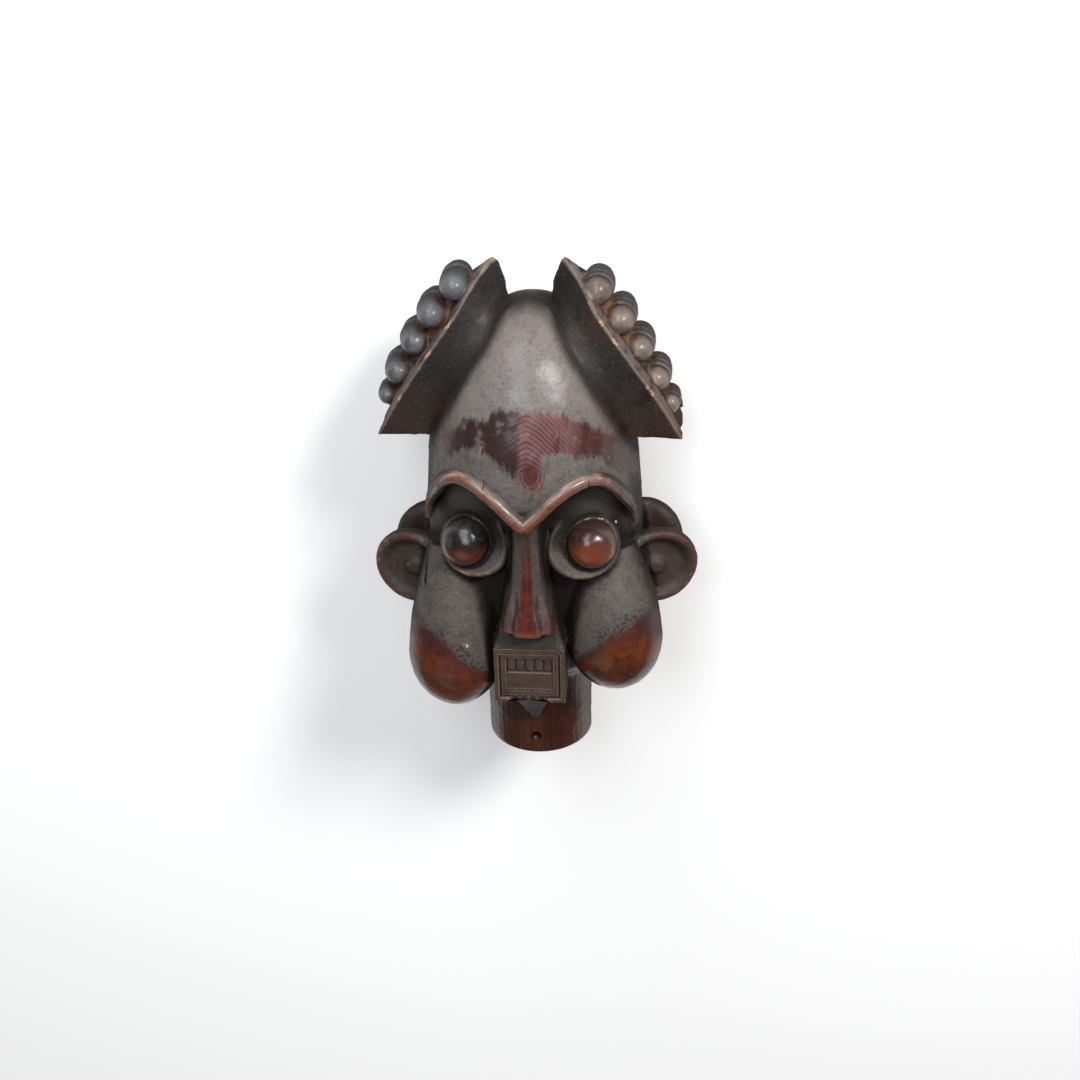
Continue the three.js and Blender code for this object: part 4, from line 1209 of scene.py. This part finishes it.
    # crests: near black blades, a grey-brown lip behind the edge, ochre bed, sheeny knobs
    out, back = f.field("crestOut"), f.field("crestBack")
    root = f.step(f.field("rootOut") + ragged * 0.16, -4.5, 1.5)
    beside = f.step(f.field("rootOut") + ragged * 0.5, -17.0, -7.0)
    f.lay(beside * f.step(small * 0.5 + medium * 0.5, 0.4, 0.6) * 0.22, "warm")
    paler = (1.0 - band) * (1.0 - f.step(tiny * 0.45 + small * 0.55, 0.45, 0.63) * 0.6)
    # the top of the dome laid paler in the pale dust's colour: a painted light, kept off the band and the dark
    # grains
    domeTopLight = f.step(tall, 296.0, 338.0) * f.step(small * 0.5 + medium * 0.5, 0.34, 0.6)
    f.lay(domeTopLight * paler * 0.5, "dustPale")
    # a painted sheen in a bluish grey over the middle of the crown
    sheen = f.step(f.field("polishAndSheen"), 0.05, 0.8) * f.step(small * 0.5 + tiny * 0.5, 0.34, 0.6)
    f.lay(sheen * paler * 0.38, "paintedSheen")
    crest = f.field("crest").math("MAXIMUM", root)
    lowBlade = f.fall(tall + (medium - 0.5) * 60.0, 295.0, 350.0)
    bladeTone = f.blend(f.step(medium * 0.6 + streak * 0.4, 0.42, 0.66), "black", "blade")
    bladeTone = f.blend(f.step(large + (small - 0.5) * 0.4, 0.52, 0.68) * 0.45, bladeTone, "cheekDeep")
    browned = lowBlade * f.step(medium * 0.6 + small * 0.4, 0.38, 0.6)
    bladeTone = f.blend(browned * 0.7, bladeTone, "bladeLow")
    bladeTone = f.blend(f.step(grain * 0.5 + tiny * 0.6, 0.6, 0.72) * 0.3, bladeTone, "dust")
    f.lay(crest * 0.94, bladeTone)
    knobs = crest * f.field("inKnob") * f.step(out, -1.0, 0.6)
    lip = crest * f.step(out, -0.6, 0.4) * f.fall(back, 13.0, 15.0) * f.step(back, 0.4, 1.2) * (1.0 - knobs)
    lipTone = f.blend(f.step(small * 0.6 + medium * 0.4, 0.34, 0.56), "blade", "lip")
    lipTone = f.blend(lowBlade * 0.7, lipTone, "bed")
    f.lay(lip * 0.92, lipTone)
    knobTone = f.blend(right, "knobLeft", "knobRight")
    knobTone = f.blend(f.step(medium * 0.6 + small * 0.4, 0.44, 0.62) * 0.6, knobTone, "brown")
    # the knobs darkened where they turn away from up: a painted shade that outlines them
    knobTone = f.blend(f.fall(f.field("upward") + (small - 0.5) * 0.2, 0.05, 0.6) * 0.85, knobTone, "black")
    f.lay(knobs * 0.95, knobTone)
    bed = crest * f.step(out, -1.0, 2.0) * f.step(back, 8.0, 12.0) * f.step(near, 0.52, 0.6)
    bed = bed * f.step(small + medium * 0.5, 0.56, 0.85)
    f.lay(bed * 0.75, "bed")

    # the dust's tone laid round the eyes, with the painted shade eased there: partly a painted light under the
    # brows
    bowl = f.field("eyeBowl")
    f.lay(bowl * 0.6, "dust")

    # eyes: glossy balls, darker above, and worn lids
    ball = f.fall(f.field("ballAway") + (small - 0.5) * 1.5, 20.6, 22.2)
    ball = ball * f.fall(f.field("lidAway"), 20.0, 22.0)
    height = tall + (medium - 0.5) * 30.0 + (small - 0.5) * 12.0
    low = f.fall(height, 206.0, 219.0)
    leftEye = f.blend(low, "eye", "eyeLow")
    rightEye = f.blend(f.fall(height, 209.0, 226.0), "eyeRight", "eyeRightLow")
    lid = f.fall(f.field("lidAway"), 29.0, 31.0) * f.fall(f.field("edgeShare"), 0.42, 0.47) * (1.0 - ball)
    f.lay(lid * f.fall(f.field("ballAway"), 34.0, 38.0) * 0.7, "lid")
    # the sockets by the nose darkened: a painted shade
    f.lay(f.field("socket") * 0.6 * (1.0 - lid), "creviceAndShade")
    eyeTone = f.blend(right, leftEye, rightEye)
    # the groove between ball and lid darkened: a painted shade
    seamShade = f.step(f.field("ballAway"), 19.8, 21.0) * f.fall(f.field("ballAway"), 23.0, 25.0)
    f.lay(seamShade * f.fall(f.field("lidAway"), 22.0, 24.0) * 0.6, "creviceAndShade")
    rimward = f.step(f.field("lidAway") + (medium - 0.5) * 14.0 + (small - 0.5) * 8.0, 11.0, 20.0)
    eyeTone = f.blend(rimward * 0.3, eyeTone, "eyeDust")
    eyeTone = f.blend(f.step(medium * 0.6 + small * 0.4, 0.52, 0.6) * 0.35, eyeTone, "eyeDust")
    f.lay(ball, eyeTone)

    # mouth, and the dark slab over it
    f.lay(f.field("slabIn") * 0.6, "black")
    mouth, groove = f.field("mouthIn"), f.field("groove")
    mouthTone = f.blend(f.step(small * 0.5 + medium * 0.5, 0.4, 0.62), "mouth", "brown")
    mouthTone = f.blend(f.fall(groove + (small - 0.5) * 0.25, -0.45, -0.08) * 0.85, mouthTone, "mouthWorn")
    # darker in the mouth's recesses: a painted shade
    mouthTone = f.blend(f.step(groove + (small - 0.5) * 0.15, 0.12, 0.5), mouthTone, "mouthRecessShade")
    f.lay(mouth * 0.95, mouthTone)

    # dirt and painted shade in the hollows, painted shade on the sides, pale wear along the edges
    soiledAndShaded = (hollow * 0.65 + corner * 0.5 + deep * 0.6).math("MULTIPLY", 1.0 - mouth * 0.8, clamp=True)
    soiledAndShaded = soiledAndShaded * (1.0 - ball * 0.6) * (1.0 - bed * 0.8) * (1.0 - bowl * 0.75)
    f.lay(soiledAndShaded * 0.9, "creviceAndShade")
    # painted shade on the sides that turn from up, eased high on the dome off the crests, and round the eyes
    lit = f.step(tall, 300.0, 345.0) * (1.0 - crest) * 0.85
    shaded = side * 0.55 * (1.0 - f.field("inBore")) * (1.0 - neck * 0.5) * (1.0 - lit) * (1.0 - bowl)
    f.lay(shaded, "creviceAndShade")
    rubbedEdge = edge * f.step(small * 0.6 + large * 0.6, 0.56, 0.82)
    f.lay(rubbedEdge * (1.0 - ball) * (1.0 - knobs) * (1.0 - neck) * 0.6, "beige")
    # a pale line along the blades' sharp front edges, in the lip's colour: partly wear, partly a painted
    # highlight
    bladeEdgeWearAndHighlight = crest * f.step(out + (small - 0.5) * 2.0, -2.4, -1.2) * f.fall(back, 0.8, 2.2) * edge
    f.lay(bladeEdgeWearAndHighlight * 0.6, "lip")
    chip = f.step(f.field("chip") + (small - 0.5) * 2.2 + (tiny - 0.5) * 1.6, 0.7, 1.0)
    f.lay(chip * 0.9, f.blend(crest, "fleck", "chip"))
    f.lay(f.step(f.field("crack"), 0.3, 0.7), "creviceAndShade")
    f.put("Base Color", f.colour)

    gloss = (band * 0.6 + ridge + wornEnd * 0.7 + red * 0.5 + brow + ball * 1.2 + neck * 0.4 + knobs * 0.75
             + lip * 0.3)
    gloss = (gloss + f.field("polishAndSheen") * 0.9 + tip).math("MULTIPLY", 1.0 - soiledAndShaded * 0.7, clamp=True)
    rough = 0.52 - gloss * 0.27 + (small - 0.5) * 0.22 + (tiny - 0.5) * 0.16 + side * 0.35 + crest * 0.08
    f.put("Roughness", rough.math("MAXIMUM", 0.15))
    coat = (ball * 0.8 + band * 0.3 + ridge * 0.9 + flank * 0.5 + brow * 0.6 + wornEnd * 0.15 + tip * 0.5
            + knobs * 0.5 + f.field("polishAndSheen") * 0.2 + red * 0.2 + neck * 0.05)
    f.put("Coat Weight", coat.math("MULTIPLY", (1.0 - soiledAndShaded) * (1.0 - side), clamp=True))
    f.set({"Coat Roughness": 0.24, "Coat IOR": 1.4, "Specular IOR Level": 0.2})
    height = small * 0.55 + tiny * 0.4 + grain * 0.2 - ring * band * 0.14 + fibre * neck * 0.15 - chip * 0.3
    height = height * (1.0 - gloss * 0.7)
    bump = {"Height": height, "Strength": 0.75, "Distance": 0.0012}
    f.put("Normal", f.node("ShaderNodeBump", {}, bump, "Normal"))
    return f.material


woodMaterial = carvedWood()
for piece in pieces:
    piece.data.materials.clear()
    piece.data.materials.append(woodMaterial)
print("material made")

# Camera, floor and light

shot = {"elevation": 28.0, "yaw": 5.7, "roll": 1.55, "distance": 1.25, "focalPixels": 1562.5,
        "framePixels": 1080,
        "targetHeight": 214.0, "targetPixel": (535.6, 504.4)}


def makeCamera():
    s = shot
    e, yaw, roll = (math.radians(s[k]) for k in ("elevation", "yaw", "roll"))
    toCamera = Vector((math.sin(yaw) * math.cos(e), math.sin(e), math.cos(yaw) * math.cos(e)))
    up = (Vector((0, 1, 0)) - toCamera * toCamera.y).normalized()
    right = up.cross(toCamera)
    up, right = up * math.cos(roll) + right * math.sin(roll), right * math.cos(roll) - up * math.sin(roll)
    target = Vector(toWorld(np.array([[0, s["targetHeight"], 0]]))[0])
    eye = target + toCamera * s["distance"]
    # turn the camera so that the frame's middle, not the target, is in the middle of the picture
    middle = s["framePixels"] / 2
    look = (right * (middle - s["targetPixel"][0]) - up * (middle - s["targetPixel"][1])
            - toCamera * s["focalPixels"]).normalized()
    back = -look
    side = up.cross(back).normalized()
    lens = bpy.data.cameras.new("photoCamera")
    lens.sensor_width, lens.lens = 36, 36 * s["focalPixels"] / s["framePixels"]
    lens.clip_start, lens.clip_end = 0.05, 20
    camera = bpy.data.objects.new("photoCamera", lens)
    bpy.context.scene.collection.objects.link(camera)
    camera.matrix_world = Matrix((side, back.cross(side), back)).transposed().to_4x4()
    camera.location = eye
    bpy.context.scene.camera = camera


floorSizes = {"half": 6.0, "white": 0.93, "glow": 0.12}


def makeFloor():
    s = floorSizes
    mesh = bpy.data.meshes.new("floor")
    corners = [(x * s["half"], y * s["half"], 0) for x, y in ((-1, -1), (1, -1), (1, 1), (-1, 1))]
    mesh.from_pydata(corners, [], [(0, 1, 2, 3)])
    floor = linked("floor", mesh)
    paper = Finish("palePaper")
    paper.set({"Base Color": (s["white"],) * 3 + (1,), "Roughness": 0.9, "Emission Color": (1, 1, 1, 1),
               "Emission Strength": s["glow"]})
    mesh.materials.append(paper.material)


lights = {
    "key": {"place": (1.6, 2.1, 1.8), "size": 0.8, "power": 98, "colour": (1.0, 0.985, 0.97)},
    "window": {"place": (-0.7, 2.7, 1.5), "size": 1.6, "power": 48, "colour": (0.95, 0.975, 1.0)},
    "sky": {"place": (-0.25, 0.85, 1.45), "size": 0.6, "power": 10, "colour": (0.9, 0.95, 1.0)},
    "front": {"place": (-0.6, -1.1, 1.5), "size": 1.2, "power": 2.5, "colour": (1.0, 0.99, 0.97)},
}


def makeLights():
    for name, s in lights.items():
        lamp = bpy.data.lights.new(name, "AREA")
        lamp.energy, lamp.size, lamp.color = s["power"], s["size"], s["colour"]
        light = linked(name, lamp)
        light.location = s["place"]
        light.rotation_euler = (-Vector(s["place"])).to_track_quat("-Z", "Y").to_euler()
    world = bpy.data.worlds.new("studio")
    world.use_nodes = True
    world.node_tree.nodes["Background"].inputs["Color"].default_value = (1.0, 1.0, 1.0, 1)
    world.node_tree.nodes["Background"].inputs["Strength"].default_value = 0.2
    bpy.context.scene.world = world
    bpy.context.scene.view_settings.view_transform = "Standard"


makeCamera()
makeFloor()
makeLights()
print("camera, floor and lights made")
